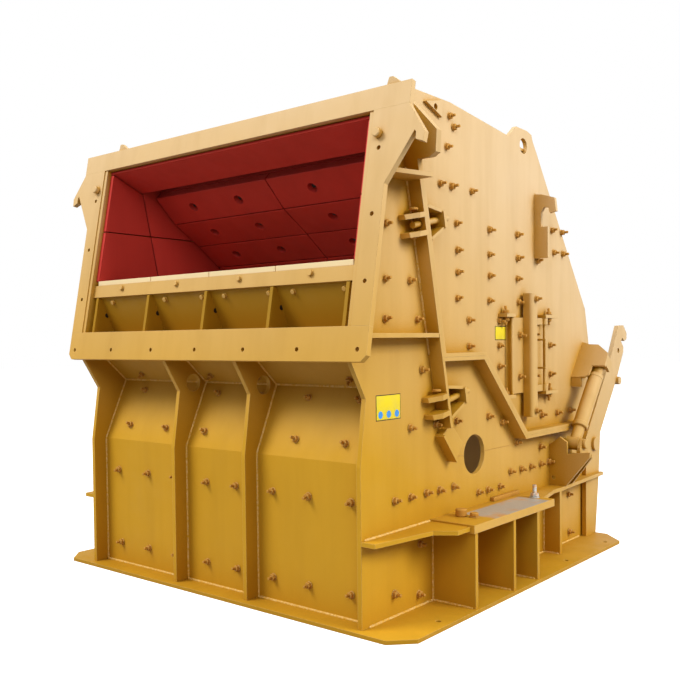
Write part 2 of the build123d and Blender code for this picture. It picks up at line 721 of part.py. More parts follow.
def clamp_front(z):
    """Front half of a clamp: a plate over and a plate under the bolt, which taper along the side plate."""
    plates = []
    edge = SIDE_X + CLAMP_EDGE
    for offset in (-CLAMP_SPREAD - CLAMP_T, CLAMP_SPREAD):
        line = across_joint(z, -FLANGE_T - CLAMP_REACH, -FLANGE_T, offset)
        plates.append(slab_x(band(line, CLAMP_T), SIDE_X, edge - SIDE_X))
    front_y = joint_y(z) - FLANGE_T - CLAMP_REACH
    taper = slab_z([
        (SIDE_X, front_y - CLAMP_T), (SIDE_X + CLAMP_T, front_y - CLAMP_T), (edge - CLAMP_T, front_y + CLAMP_T),
        (edge, front_y + 2 * CLAMP_T), (edge, joint_y(z) + CLAMP_T), (SIDE_X, joint_y(z) + CLAMP_T),
    ], z - CLAMP_REACH, 2 * CLAMP_REACH)
    bolt = bolt_bar(z, CLAMP_BOLT_R, -FLANGE_T - CLAMP_REACH / 2, 0)
    return (plates[0] & taper) + (plates[1] & taper), bolt


def clamp_rear(z, start, bolt_start):
    """Rear half of a clamp: two plates that close towards the end plate, with the bolt's end and its nut."""
    edge = SIDE_X + FLANGE_W
    plates = []
    for side in (-1, 1):
        near = across_joint(z, start, CLAMP_BACK, side * (CLAMP_SPREAD + CLAMP_FLARE))[0]
        far = across_joint(z, start, CLAMP_BACK, side * CLAMP_SPREAD)[1]
        plates.append(slab_x(band([near, far], side * COVER_T), SIDE_X, edge - SIDE_X))
    end_line = across_joint(z, CLAMP_BACK - SIDE_GAP, CLAMP_BACK + SIDE_GAP, -CLAMP_SPREAD - SIDE_GAP)
    plate = slab_x(band(end_line, 2 * CLAMP_SPREAD + 2 * SIDE_GAP), SIDE_X, edge - SIDE_X + SIDE_GAP)
    bolt = bolt_bar(z, CLAMP_BOLT_R, bolt_start, CLAMP_BACK + CLAMP_TIP)
    lean = radians(JOINT_LEAN)
    (y, height), _ = across_joint(z, CLAMP_BACK + SIDE_GAP, 0)
    plane = Plane(origin=(SIDE_X + FLANGE_W / 2, y, height), x_dir=(1, 0, 0), z_dir=(0, cos(lean), sin(lean)))
    nut = extrude(plane * RegularPolygon(CLAMP_NUT_R, 6), amount=CLAMP_T)
    return plates[0] + plates[1] + plate + bolt + nut


def clamp_brackets():
    """Clamps on the fixed frame: the front halves of the upper ones and the lower ones whole."""
    upper_plates, upper_bolt = clamp_front(CLAMP_Z)
    lower_plates, _ = clamp_front(LOWER_CLAMP_Z)
    lower_rear = clamp_rear(LOWER_CLAMP_Z, 0, 0)
    return pair(upper_plates, upper_bolt, lower_plates, lower_rear)


def clamp_seats():
    """Rear halves of the upper clamps, on the housing."""
    return pair(clamp_rear(CLAMP_Z, FLANGE_T + SEAT_GAP, SEAT_GAP))


# Rear housing

def housing_outline():
    """Outline of a side plate of the rear housing, with its lifting lug and hinge eye."""
    gap = SEAT_GAP
    lug = [(LUG_Y + along, ROOF_Z + up) for along, up in LUG_PROFILE]
    flat = OCTAGON * HINGE_EYE_R
    eye_z = HINGE_Z + 2 * SIDE_GAP
    return [
        (joint_y(PARTING_Z) + 2 * gap, PARTING_Z + gap), (joint_y(ROOF_FRONT_Z) + 2 * gap, ROOF_FRONT_Z),
        (roof_start_y(), ROOF_Z), (ROOF_BREAK_Y, ROOF_Z),
    ] + lug + [
        (ROOF_REAR_Y, ROOF_REAR_Z), (BACK_Y, BACK_Z), (BACK_FOOT_Y, BACK_FOOT_Z),
        (BACK_FOOT_Y + SIDE_GAP, PARTING_LOW_Z + 3 * FLANGE_T), (HINGE_Y + HINGE_EYE_R, eye_z),
        (HINGE_Y + flat, HINGE_Z - flat), (HINGE_Y, HINGE_Z - HINGE_EYE_R), (HINGE_Y - flat, HINGE_Z - flat),
        (HINGE_Y - HINGE_EYE_R, eye_z), (HINGE_Y - HINGE_EYE_R, PARTING_LOW_Z + gap),
        (PARTING_LOW_Y, PARTING_LOW_Z + gap), (PARTING_STEP_Y + gap, PARTING_Z + gap),
    ]


def roof_start_y():
    """Place where the roof's front slope meets its flat part."""
    return joint_y(ROOF_FRONT_Z) + FLANGE_HEAD_CUT - SIDE_T


def doorway_outline():
    """Doorway behind the inspection door, smaller than its panel all round."""
    low_y, high_y = DOOR_FRONT_Y + DOOR_LAP, DOOR_FRONT_Y + DOOR_W - DOOR_LAP
    low_z, high_z = DOOR_BOTTOM_Z + DOOR_LAP, DOOR_BOTTOM_Z + DOOR_H - DOOR_LAP
    return rectangle(low_y, high_y, low_z, high_z)


def housing_side():
    """Side plate of the rear housing with its holes, and a three-cornered ear near its top front corner."""
    plate = slab_x(housing_outline(), SIDE_X - SIDE_T, SIDE_T)
    plate -= rod_x(LUG_Y, LUG_Z, LUG_HOLE_R, SIDE_X - SIDE_T, SIDE_X)
    plate -= slab_x(doorway_outline(), SIDE_X - SIDE_T, SIDE_T)
    plate -= rod_x(HINGE_Y, HINGE_Z, HINGE_R + PIN_GAP, SIDE_X - SIDE_T, SIDE_X)
    front_y = joint_y(ROOF_FRONT_Z)
    ear = slab_x([(front_y + back, ROOF_Z - down) for back, down in EAR_PROFILE], SIDE_X, EAR_T)
    ear -= rod_x(front_y + EAR_HOLE_Y, ROOF_Z - EAR_HOLE_DROP, EAR_HOLE_R, SIDE_X, SIDE_X + EAR_T)
    return plate + ear


def housing_roof():
    inner_x = SIDE_X - SIDE_T
    along, up = LUG_PROFILE[0]
    top = ROOF_Z - ROOF_SETBACK
    path = [
        (joint_y(ROOF_FRONT_Z) + ROOF_SETBACK, ROOF_FRONT_Z), (roof_start_y(), top), (ROOF_BREAK_Y, top),
        (LUG_Y + along, top + up), (ROOF_REAR_Y - SIDE_GAP, ROOF_REAR_Z - ROOF_SETBACK),
    ]
    return slab_x(band(path, -ROOF_T), -inner_x, 2 * inner_x)


def housing_back():
    inner_x = SIDE_X - SIDE_T
    path = [
        (ROOF_REAR_Y - BACK_SETBACK - EDGE_GAP, ROOF_REAR_Z - ROOF_T - ROOF_SETBACK - LINER_GAP),
        (BACK_Y - BACK_SETBACK, BACK_Z),
        (BACK_FOOT_Y - BACK_SETBACK, BACK_FOOT_Z), (BACK_FOOT_Y - BACK_SETBACK, PARTING_LOW_Z + FLANGE_T),
    ]
    return slab_x(band(path, -ROOF_T), -inner_x, 2 * inner_x)


def housing_sill():
    """Bottom plate of the housing behind the rear wall of the lower frame."""
    inner_x = SIDE_X - SIDE_T
    outline = rectangle(-inner_x, inner_x, REAR_WALL_Y - FLANGE_W, BACK_FOOT_Y - BACK_SETBACK)
    return slab_z(outline, PARTING_LOW_Z + SEAT_GAP, FLANGE_T - SEAT_GAP)


def apron_row(index):
    """One row of two cast impact plates, facing the feed opening."""
    back = offset_path(list(APRON_LINE), APRON_T)
    start, end = APRON_LINE[index], APRON_LINE[index + 1]
    length = hypot(end[0] - start[0], end[1] - start[1])
    trim_y = (end[0] - start[0]) / length * APRON_ROW_GAP / 2
    trim_z = (end[1] - start[1]) / length * APRON_ROW_GAP / 2
    outline = [
        (start[0] + trim_y, start[1] + trim_z), (end[0] - trim_y, end[1] - trim_z),
        (back[index + 1][0] - trim_y, back[index + 1][1] - trim_z),
        (back[index][0] + trim_y, back[index][1] + trim_z),
    ]
    half_gap = APRON_ROW_GAP / 2
    return pair(slab_x(outline, half_gap, APRON_X - half_gap))


def hanger_point():
    """Centre of the bar that the apron hangs from, behind its top row."""
    top = offset_path(list(APRON_LINE), APRON_T + CARRIER_T + HANGER_EYE_R)[0]
    return top[0] + EAR_T, top[1] - EAR_T


def apron_frame():
    """Welded carrier behind the impact plates, with ribs that end in the hanger eyes."""
    start = APRON_T + SEAT_GAP
    frame = slab_x(band(list(APRON_LINE), CARRIER_T, start), -APRON_X, 2 * APRON_X)
    y, z = hanger_point()
    carrier_back = offset_path(list(APRON_LINE), start + CARRIER_T)
    rib_back = offset_path(list(APRON_LINE), start + CARRIER_T + APRON_RIB_D)
    corner = OCTAGON * HANGER_EYE_R
    outline = carrier_back + [
        rib_back[-2], rib_back[1], (y + HANGER_EYE_R, z), (y + corner, z + corner), (y, z + HANGER_EYE_R),
        (y - corner, z + corner), (y - HANGER_EYE_R, z),
    ]
    for x in APRON_RIB_XS:
        frame += slab_x(outline, x - RIB_T / 2, RIB_T)
    return frame - rod_x(y, z, HANGER_R + PIN_GAP, -APRON_X, APRON_X)


def apron_hanger():
    """Cross bar that the apron hangs from, between the housing's side plates."""
    y, z = hanger_point()
    return rod_x(y, z, HANGER_R, -SIDE_X + SIDE_T, SIDE_X - SIDE_T)


# Cylinders

def cylinder_axis():
    """Unit direction and length from the rod pin to the head pin."""
    dy, dz = HEAD_PIN_Y - ROD_Y, HEAD_PIN_Z - ROD_Z
    length = hypot(dy, dz)
    return dy / length, dz / length, length


def along_cylinder(distance, radius, length):
    """Round bar on the cylinder's axis."""
    uy, uz, _ = cylinder_axis()
    origin = (CYL_X, ROD_Y + uy * distance, ROD_Z + uz * distance)
    plane = Plane(origin=origin, x_dir=(1, 0, 0), z_dir=(0, uy, uz))
    return extrude(plane * Circle(radius), amount=length)


def cylinder_rod():
    eye = rod_x(ROD_Y, ROD_Z, CYL_EYE_R, CYL_X - CYL_EYE_W / 2, CYL_X + CYL_EYE_W / 2)
    shaft = along_cylinder(0, ROD_R, BARREL_START + STROKE + ROD_R)
    rod = eye + shaft
    return rod - rod_x(ROD_Y, ROD_Z, CYL_PIN_R + PIN_GAP, CYL_X - CYL_EYE_W, CYL_X + CYL_EYE_W)


def cylinder_barrel():
    _, _, length = cylinder_axis()
    barrel = along_cylinder(BARREL_START, BARREL_R, BARREL_L)
    barrel += along_cylinder(BARREL_START + BARREL_L, ROD_R, length - BARREL_START - BARREL_L)
    barrel += rod_x(HEAD_PIN_Y, HEAD_PIN_Z, HEAD_EYE_R, CYL_X - CYL_EYE_W / 2, CYL_X + CYL_EYE_W / 2)
    barrel -= along_cylinder(BARREL_START, ROD_R + PIN_GAP, BARREL_L - 2 * COVER_T)
    eye_r = HEAD_PIN_R + HEAD_EYE_GAP
    return barrel - rod_x(HEAD_PIN_Y, HEAD_PIN_Z, eye_r, CYL_X - CYL_EYE_W, CYL_X + CYL_EYE_W)


def rod_bracket():
    """Bracket on the lower frame under the cylinder: two upright plates, a seat and two ears with their pin."""
    front_outline = [(SIDE_X + out, SHELF_TOP_Z + up) for out, up in ROD_PLATE]
    bracket = slab_y(front_outline, ROD_PLATE_Y, EAR_T)
    bracket -= hole_y(SIDE_X + ARM_T, SHELF_TOP_Z + 2 * SIDE_T, PLATE_HOLE_R, ROD_PLATE_Y, EAR_T)
    bracket += slab_y([(SIDE_X + out, SHELF_TOP_Z + up) for out, up in ROD_PLATE_BACK], ROD_BACK_Y, EAR_T)
    outer = CYL_X + CYL_EYE_W / 2 + CHEEK_GAP
    inner = 2 * CYL_X - outer
    rear = ROD_BACK_Y + EAR_T
    seat_x = outer + EAR_T
    seat = [(SIDE_X, ROD_PLATE_Y), (seat_x, ROD_PLATE_Y), (seat_x, rear), (SIDE_X, rear)]
    bracket += slab_z(seat, ROD_SEAT_Z - COVER_T, COVER_T)
    for low in (outer, inner - EAR_T):
        outline = [
            (ROD_PLATE_Y + EAR_T, ROD_SEAT_Z), (ROD_PLATE_Y + EAR_T, ROD_Z - EAR_T),
            (ROD_Y - EAR_T, ROD_Z + ARM_T), (ROD_Y + EAR_T, ROD_Z + ARM_T), (rear, ROD_Z - EAR_T),
            (rear, ROD_SEAT_Z),
        ]
        bracket += slab_x(outline, low, EAR_T)
    return bracket + rod_x(ROD_Y, ROD_Z, CYL_PIN_R, inner - EAR_T, outer + EAR_T)


def hole_y(x, z, radius, y_low, depth):
    """Round bar along Y, to cut a hole."""
    plane = Plane(origin=(x, y_low, z), x_dir=(1, 0, 0), z_dir=(0, 1, 0))
    return extrude(plane * Circle(radius), amount=depth)


def head_bracket():
    """Bracket on the rear housing over the cylinder: a leaning plate, a web, and two cheeks with their pin."""
    uy, uz, _ = cylinder_axis()
    outer = CYL_X + CYL_EYE_W / 2 + CHEEK_GAP
    inner = 2 * CYL_X - outer
    origin = (SIDE_X, HEAD_PIN_Y - uz * HEAD_PLATE_GAP, HEAD_PIN_Z + uy * HEAD_PLATE_GAP)
    plane = Plane(origin=origin, x_dir=(1, 0, 0), z_dir=(0, -uz, uy))
    bracket = extrude(plane * closed(list(HEAD_PLATE)), amount=COVER_T)
    foot = HEAD_PLATE[0][1]
    foot_y, foot_z = origin[1] + uy * foot, origin[2] + uz * foot
    web_y, web_z = foot_y - uz * COVER_T / 2, foot_z + uy * COVER_T / 2
    web = [
        (web_y, web_z), (web_y, foot_z - HEAD_WEB_H), (web_y + EAR_T, foot_z - HEAD_WEB_H),
        (web_y + EAR_T, web_z + EAR_T * uz / uy),
    ]
    bracket += slab_x(web, SIDE_X, HEAD_WEB_X - SIDE_X - CYL_EYE_W / 2)
    back = HEAD_EYE_R + PIN_GAP
    for low in (inner - EAR_T, outer):
        outline = []
        for along, reach in rectangle(-HEAD_EYE_R, HEAD_EYE_R, -COVER_T / 2, HEAD_PLATE_GAP + back):
            outline.append((origin[1] + uy * along + uz * reach, origin[2] + uz * along - uy * reach))
        bracket += slab_x(outline, low, EAR_T)
    return bracket + rod_x(HEAD_PIN_Y, HEAD_PIN_Z, HEAD_PIN_R, SIDE_X, outer + EAR_T)


# Fittings on the sides

def hook_bracket():
    """Hook plate welded across the housing's side plate."""
    return slab_y([(SIDE_X + out, HOOK_PLATE_Z - down) for out, down in HOOK_PLATE], HOOK_PLATE_Y, RIB_T)


def deflector():
    """Small guard box over the shaft hole, with a lip along its lower edge."""
    box = slab_x([(SHAFT_Y + along, SHAFT_Z + up) for along, up in GUARD_PROFILE], SIDE_X, GUARD_W)
    return box + slab_x([(SHAFT_Y + along, SHAFT_Z + up) for along, up in GUARD_LIP], SIDE_X, GUARD_LIP_W)


def door_axis():
    """Across and along places of the door's hinge line."""
    return SIDE_X + SEAT_GAP + DOOR_T + DOOR_KNUCKLE_R, DOOR_FRONT_Y + DOOR_W + DOOR_PIN_SET


def inspection_door():
    """Door panel with its clamp bar, hung on two knuckles at its rear edge."""
    face = SIDE_X + SEAT_GAP
    rear = DOOR_FRONT_Y + DOOR_W
    top = DOOR_BOTTOM_Z + DOOR_H
    panel = slab_x(rectangle(DOOR_FRONT_Y, rear, DOOR_BOTTOM_Z, top), face, DOOR_T)
    bar_low, bar_high = DOOR_BOTTOM_Z - DOOR_BAR_BELOW, top + DOOR_BAR_ABOVE
    bar = slab_x(rectangle(DOOR_BAR_Y, DOOR_BAR_Y + DOOR_BAR_W, bar_low, bar_high), face + DOOR_T, DOOR_BAR_D)
    bar = fillet(bar.edges().filter_by(Axis.Z).group_by(Axis.X)[-1], DOOR_BAR_R)
    door = panel + bar
    x, y = door_axis()
    for z in (DOOR_BOTTOM_Z, top - DOOR_KNUCKLE_H):
        arm = slab_x(rectangle(rear - 2 * DOOR_PIN_SET, y, z, z + DOOR_KNUCKLE_H), face + DOOR_T, DOOR_T)
        door += arm + rod_z(x, y, DOOR_KNUCKLE_R, z, z + DOOR_KNUCKLE_H)
    return door - rod_z(x, y, DOOR_PIN_R + PIN_GAP, DOOR_BOTTOM_Z, top)


def door_hinges():
    """Fixed lugs over and under a door: the rear ones carry its hinge pin, the front ones its latch rod."""
    x, y = door_axis()
    outer = x + DOOR_KNUCKLE_R
    low, high = DOOR_BOTTOM_Z - 1, DOOR_BOTTOM_Z + DOOR_H + 1
    latch_y = DOOR_FRONT_Y - DOOR_LATCH_SET
    rear_lug = rectangle(SIDE_X, outer, y - DOOR_KNUCKLE_R, y + DOOR_LUG_REAR)
    front_lug = rectangle(SIDE_X, outer, latch_y - DOOR_LUG_FRONT, latch_y + DOOR_PIN_R)
    rear = rod_z(x, y, DOOR_PIN_R, low - DOOR_LUG_T, high + DOOR_LUG_T)
    front = rod_z(x, latch_y, DOOR_PIN_R, low - DOOR_LUG_T, high + DOOR_LUG_T)
    for z in (low - DOOR_LUG_T, high):
        rear += slab_z(rear_lug, z, DOOR_LUG_T)
        front += slab_z(front_lug, z, DOOR_LUG_T)
    return pair(rear, front)


def placed(part):
    """The part moved from the front-edge datum to the middle of the machine's plan."""
    return Pos(0, -PLAN_MIDDLE_Y, 0) * part


def build():
    """Every node by name."""
    nodes = {
        "base_frame": base_frame(),
        "front_wall": front_wall(),
        "front_ribs": front_ribs(),
        "rear_wall": rear_wall(),
        "bearing_seats": pair(bearing_seat()),
        "hinge_brackets": hinge_brackets(),
        "rod_brackets": pair(rod_bracket()),
        "inlet_rail": inlet_rail(),
        "inlet_posts": pair(inlet_post()),
        "lintel": lintel(),
        "inlet_roof": inlet_roof(),
        "inlet_liners": inlet_liners(),
        "inlet_shelves": inlet_shelves(),
        "feed_plate": feed_plate(),
        "feed_lip": feed_lip(),
        "bay_wall": bay_wall(),
        "bay_gussets": bay_gussets(),
        "clamp_brackets": clamp_brackets(),
        "deflectors": pair(deflector()),
        "clamp_seats": clamp_seats(),
        "housing_roof": housing_roof(),
        "housing_back": housing_back(),
        "housing_sill": housing_sill(),
        "head_brackets": pair(head_bracket()),
        "hook_brackets": pair(hook_bracket()),
        "door_hinges": door_hinges(),
        "apron_hanger": apron_hanger(),
        "apron_frame": apron_frame(),
    }
    for index in range(len(APRON_LINE) - 1):
        nodes[f"apron_row_{index + 1}"] = apron_row(index)
    sided = {
        "side_plate": side_plate(),
        "frame_flange": frame_flange(),
        "pedestal": pedestal(),
        "rear_post": rear_post(),
        "housing_side": housing_side(),
        "housing_flange": housing_flange(),
        "inspection_door": inspection_door(),
        "cylinder_rod": cylinder_rod(),
        "cylinder_barrel": cylinder_barrel(),
    }
    for name, part in sided.items():
        right, left = both_sides(part)
        nodes[f"{name}_right"] = right
        nodes[f"{name}_left"] = left
    return nodes


os.makedirs("parts", exist_ok=True)
for node_name, shape in build().items():
    export_step(placed(shape), f"parts/{node_name}.step")
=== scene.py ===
"""Looks of the impact crusher: paint, bolts, welds and fittings, with a floor, soft light and the camera."""

import json
import math
import random

import bpy
from bpy.props import FloatProperty, FloatVectorProperty, PointerProperty
from bpy.types import Operator, Panel, PropertyGroup
from mathutils import Matrix, Vector


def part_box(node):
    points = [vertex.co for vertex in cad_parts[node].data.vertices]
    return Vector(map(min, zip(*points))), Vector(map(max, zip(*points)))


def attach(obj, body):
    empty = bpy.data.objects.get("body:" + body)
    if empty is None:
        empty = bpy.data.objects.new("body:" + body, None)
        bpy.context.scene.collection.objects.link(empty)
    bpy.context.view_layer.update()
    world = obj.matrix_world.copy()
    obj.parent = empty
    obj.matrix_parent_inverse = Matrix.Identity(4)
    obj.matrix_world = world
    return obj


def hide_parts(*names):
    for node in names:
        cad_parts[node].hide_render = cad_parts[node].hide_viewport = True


bl_info = {
    "name": "Impact crusher looks",
    "version": (1, 0, 0),
    "blender": (4, 5, 0),
    "location": "3D View > Sidebar > Crusher",
    "description": "Paint, bolts, welds and fittings for the impact crusher's steelwork",
    "category": "Object",
}

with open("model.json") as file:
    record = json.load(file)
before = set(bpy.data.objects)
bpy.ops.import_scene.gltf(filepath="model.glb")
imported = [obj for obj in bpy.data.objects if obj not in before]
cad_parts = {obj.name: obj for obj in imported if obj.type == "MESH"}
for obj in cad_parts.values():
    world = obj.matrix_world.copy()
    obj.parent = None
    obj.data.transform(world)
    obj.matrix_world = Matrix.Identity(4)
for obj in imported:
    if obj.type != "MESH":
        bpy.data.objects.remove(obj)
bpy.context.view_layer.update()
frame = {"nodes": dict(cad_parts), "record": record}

FRAME_BODY = "frame"
HOUSING_BODY = "rear_housing"
FRONT_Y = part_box("pedestal_right")[0].y
SIDE_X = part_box("side_plate_right")[1].x
BASE_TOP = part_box("base_frame")[1].z
SEAT_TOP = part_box("bearing_seats")[1].z
WALL_INNER_X = -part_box("inlet_liners")[0].x
LINER_X = WALL_INNER_X - 0.028
RAY_START = 3.0
SIDES = {"right": 1, "left": -1}

# Camera of the photograph, with pixels in its 680 by 680 frame
PHOTO_SIZE = 680
PHOTO_FOCAL_PX = 851.8
PHOTO_CENTRE_PX = (348.6, 364.7)
CAMERA_PLACE = (3.5007, -3.0669, 1.3704)
CAMERA_YAW = 39.233
CAMERA_PITCH = 1.641
CAMERA_ROLL = -0.628
SENSOR_WIDTH = 36.0


def depth(y):
    """Row-frame Y of a place that is measured back from the front edge of the side plates."""
    return FRONT_Y + y


# Part of a bearing seat that is bare: from this far out, and between two places back from the front edge
BARE_X = 1.125
BARE_YS = (0.790, 1.400)
BARE_BLUR_X = 0.008
BARE_BLUR_Y = 0.010

# Stretch of the noise factor over which rust covers the bare seat
RUST_SPAN = (0.5, 0.62)

# The joint between the inlet and the rear housing leans back from its foot
JOINT_FOOT = (0.596, 1.278)
JOINT_LEAN = math.radians(12.0)


def joint_depth(z):
    """Row-frame Y of that joint at a height."""
    return depth(JOINT_FOOT[0] - (z - JOINT_FOOT[1]) * math.tan(JOINT_LEAN))


# Node materials

NOISE_ROUGHNESS = 0.55
SOFT = (0.3, 0.7)
BEVEL_SAMPLES = 4
RECESS_SAMPLES = 6
# Sockets of a Mix node that mixes colours
MIX_FIRST, MIX_SECOND, MIX_RESULT = 6, 7, 2
# Painted light on the upper part: how much a metre of depth counts beside a metre of height, and between
# which sums the paint is lightened
TOP_LIGHT_LEAN = 0.5
TOP_LIGHT_SPAN = (0.85, 2.95)
# How far out a surface still counts its neighbours as the walls of a recess
RECESS_REACH = 0.28
EDGE_MARK_RADIUS = 0.006
# Near-black steel, which also serves as painted shade in the gussets' drain holes and the apron's bolt
# pockets
DARK_STEEL_AND_SHADE = (0.012, 0.010, 0.008)
DARK_RUST = (0.03, 0.02, 0.01)


def darker(colour, share):
    """Colour at a share of its brightness."""
    return [part * share for part in colour]


def set_inputs(tree, node, inputs):
    """Link sockets to a node's inputs, and set the others to constants."""
    for name, value in inputs.items():
        socket = node.inputs[name]
        if isinstance(value, bpy.types.NodeSocket):
            tree.links.new(value, socket)
        elif socket.type == "RGBA":
            socket.default_value = (*value, 1.0)
        else:
            socket.default_value = value


def add_node(tree, kind, inputs=None, **settings):
    """New node of a kind with its settings and inputs."""
    node = tree.nodes.new("ShaderNode" + kind)
    for name, value in settings.items():
        setattr(node, name, value)
    set_inputs(tree, node, inputs or {})
    return node


def new_material(name):
    """Node tree of a new material, and its shader."""
    material = bpy.data.materials.new(name)
    material.use_nodes = True
    tree = material.node_tree
    tree.nodes.clear()
    shader = add_node(tree, "BsdfPrincipled")
    add_node(tree, "OutputMaterial", {"Surface": shader.outputs["BSDF"]})
    return tree, shader


def own_place(tree):
    """Place on the object, in the object's own coordinates."""
    return add_node(tree, "TexCoord").outputs["Object"]


def noise(tree, scale, detail, stretch=(1, 1, 1)):
    """Factor of a noise pattern on the object's own coordinates."""
    mapping = add_node(tree, "Mapping", {"Vector": own_place(tree), "Scale": stretch})
    inputs = {"Vector": mapping.outputs["Vector"], "Scale": scale, "Detail": detail,
              "Roughness": NOISE_ROUGHNESS}
    return add_node(tree, "TexNoise", inputs).outputs["Fac"]


def ramp(tree, factor, low, high, start=0.0, end=1.0):
    """Value that runs from low to high while a factor runs from start to end."""
    spans = {"Value": factor, "From Min": start, "From Max": end, "To Min": low, "To Max": high}
    return add_node(tree, "MapRange", spans).outputs["Result"]


def part_of(tree, vector, axis):
    """One of the coordinates of a vector."""
    return add_node(tree, "SeparateXYZ", {"Vector": vector}).outputs[axis]


def calculated(tree, operation, *values, kind="Math"):
    """Result of a calculation on sockets and constants."""
    return add_node(tree, kind, dict(enumerate(values)), operation=operation).outputs["Value"]


def product(tree, first, second):
    """Product of two factors."""
    return calculated(tree, "MULTIPLY", first, second)


def mixed(tree, factor, first, second):
    """Mix of two colours, each a socket or a constant."""
    inputs = {0: factor, MIX_FIRST: first, MIX_SECOND: second}
    return add_node(tree, "Mix", inputs, data_type="RGBA").outputs[MIX_RESULT]


def rounded_normal(tree, radius):
    """Normal that is rounded over the edges of a surface."""
    return add_node(tree, "Bevel", {"Radius": radius}, samples=BEVEL_SAMPLES).outputs["Normal"]


def surface_normal(tree):
    """Normal of the surface as it is modelled."""
    return add_node(tree, "NewGeometry").outputs["Normal"]


def worn_and_lit_edges(tree, radius):
    """Factor that is high on edges and corners, for worn paint with a painted highlight there."""
    normals = rounded_normal(tree, radius), surface_normal(tree)
    return ramp(tree, calculated(tree, "DOT_PRODUCT", *normals, kind="VectorMath"), 1.0, 0.0, 0.82, 0.98)


def openness(tree, distance):
    """Factor that is low in corners and recesses."""
    return add_node(tree, "AmbientOcclusion", {"Distance": distance}, samples=RECESS_SAMPLES).outputs["AO"]


def painted_top_light(tree, low, high):
    """Factor of painted light that grows with height and towards the back, cloudily."""
    along = calculated(tree, "DOT_PRODUCT", own_place(tree), (0.0, TOP_LIGHT_LEAN, 1.0), kind="VectorMath")
    front = TOP_LIGHT_LEAN * FRONT_Y
    height = ramp(tree, along, 0.0, 1.0, front + low, front + high)
    clouds = noise(tree, scale=1.1, detail=4.0)
    return product(tree, height, ramp(tree, clouds, 0.8, 1.0, *SOFT))


def bumped(tree, height, strength, distance, rounded=0.003):
    """Normal with bumps from a height, over edges that are rounded a little."""
    normal = rounded_normal(tree, rounded)
    inputs = {"Height": height, "Strength": strength, "Distance": distance, "Normal": normal}
    return add_node(tree, "Bump", inputs).outputs["Normal"]


def paint_tone(tree, colour, shade, light, top_light=None):
    """Cloudy paint colour with faint runs, painted shade in recesses, worn edges with a painted highlight,
    and painted light on the upper part.
    """
    cloud = ramp(tree, noise(tree, scale=1.6, detail=5.0), 0.0, 1.0, start=0.32, end=0.7)
    tone = mixed(tree, cloud, colour, darker(colour, 0.92))
    opened = openness(tree, RECESS_REACH)
    if top_light is not None:
        # Painted light: the paint turns paler towards the top and the back, where the surface is open
        in_the_open = ramp(tree, opened, 0.0, 1.0, start=0.45, end=0.80)
        tone = mixed(tree, product(tree, painted_top_light(tree, *TOP_LIGHT_SPAN), in_the_open), tone, top_light)
    runs = noise(tree, scale=3.0, detail=6.0, stretch=(2.5, 2.5, 0.25))
    tone = mixed(tree, ramp(tree, runs, 0.0, 0.16, start=0.45, end=0.75), tone, shade)
    # Painted shade: the tone darkens towards the shade colour in corners and recesses
    tone = mixed(tree, ramp(tree, opened, 0.65, 0.0, start=0.30, end=0.90), tone, shade)
    # Worn paint with a painted highlight: lighter towards the edge colour on edges and corners
    return mixed(tree, product(tree, worn_and_lit_edges(tree, EDGE_MARK_RADIUS), 0.35), tone, light)


def steel_paint(name, colour, shade, light, top_light=None):
    """Sprayed paint on plate, with a fine orange-peel skin."""
    tree, shader = new_material(name)
    set_inputs(tree, shader, {
        "Base Color": paint_tone(tree, colour, shade, light, top_light),
        "Roughness": ramp(tree, noise(tree, scale=9.0, detail=4.0), 0.44, 0.6, *SOFT),
        "Specular IOR Level": 0.12,
        "Normal": bumped(tree, noise(tree, scale=240.0, detail=2.0), strength=0.12, distance=0.0015),
    })


def step_up(tree, factor, place, blur):
    """Factor that rises from nought to one at a place."""
    return ramp(tree, factor, 0.0, 1.0, place - blur, place + blur)


def bare_zone(tree):
    """Factor of the part of a bearing seat that was masked off when it was painted."""
    place = own_place(tree)
    across = calculated(tree, "ABSOLUTE", part_of(tree, place, "X"))
    along = part_of(tree, place, "Y")
    front, back = (depth(y) for y in BARE_YS)
    outside = step_up(tree, across, BARE_X, BARE_BLUR_X)
    behind = step_up(tree, along, front, BARE_BLUR_Y)
    before = ramp(tree, along, 1.0, 0.0, back - BARE_BLUR_Y, back + BARE_BLUR_Y)
    return product(tree, outside, product(tree, behind, before))


def seat_paint(name, colours):
    """Paint on the sides of a bearing seat, with its top machined bare and touched by rust."""
    tree, shader = new_material(name)
    top = ramp(tree, part_of(tree, surface_normal(tree), "Z"), 0.0, 1.0, start=0.9, end=0.95)
    top = product(tree, top, bare_zone(tree))
    marks = noise(tree, scale=60.0, detail=3.0, stretch=(1.0, 14.0, 14.0))
    bare = mixed(tree, ramp(tree, marks, 0.0, 1.0, *SOFT), colours.steel, darker(colours.steel, 0.75))
    patches = noise(tree, scale=5.5, detail=6.0)
    bare = mixed(tree, ramp(tree, patches, 0.0, 1.0, *RUST_SPAN), bare, colours.rust)
    paint = paint_tone(tree, colours.body, colours.shade, colours.light)
    set_inputs(tree, shader, {
        "Base Color": mixed(tree, top, paint, bare),
        "Metallic": product(tree, top, ramp(tree, patches, 0.5, 0.0, *RUST_SPAN)),
        "Roughness": 0.45,
        "Normal": bumped(tree, marks, strength=0.1, distance=0.0006),
    })


def bare_steel(name, colour, rust):
    """Dull bare steel with rust in patches."""
    tree, shader = new_material(name)
    marks = noise(tree, scale=90.0, detail=3.0)
    tone = mixed(tree, ramp(tree, marks, 0.0, 1.0, *SOFT), colour, darker(colour, 0.7))
    patches = ramp(tree, noise(tree, scale=28.0, detail=6.0), 0.0, 0.8, start=0.48, end=0.6)
    set_inputs(tree, shader, {
        "Base Color": mixed(tree, patches, tone, rust),
        "Metallic": 0.5,
        "Roughness": 0.45,
        "Normal": bumped(tree, marks, strength=0.15, distance=0.0006, rounded=0.001),
    })


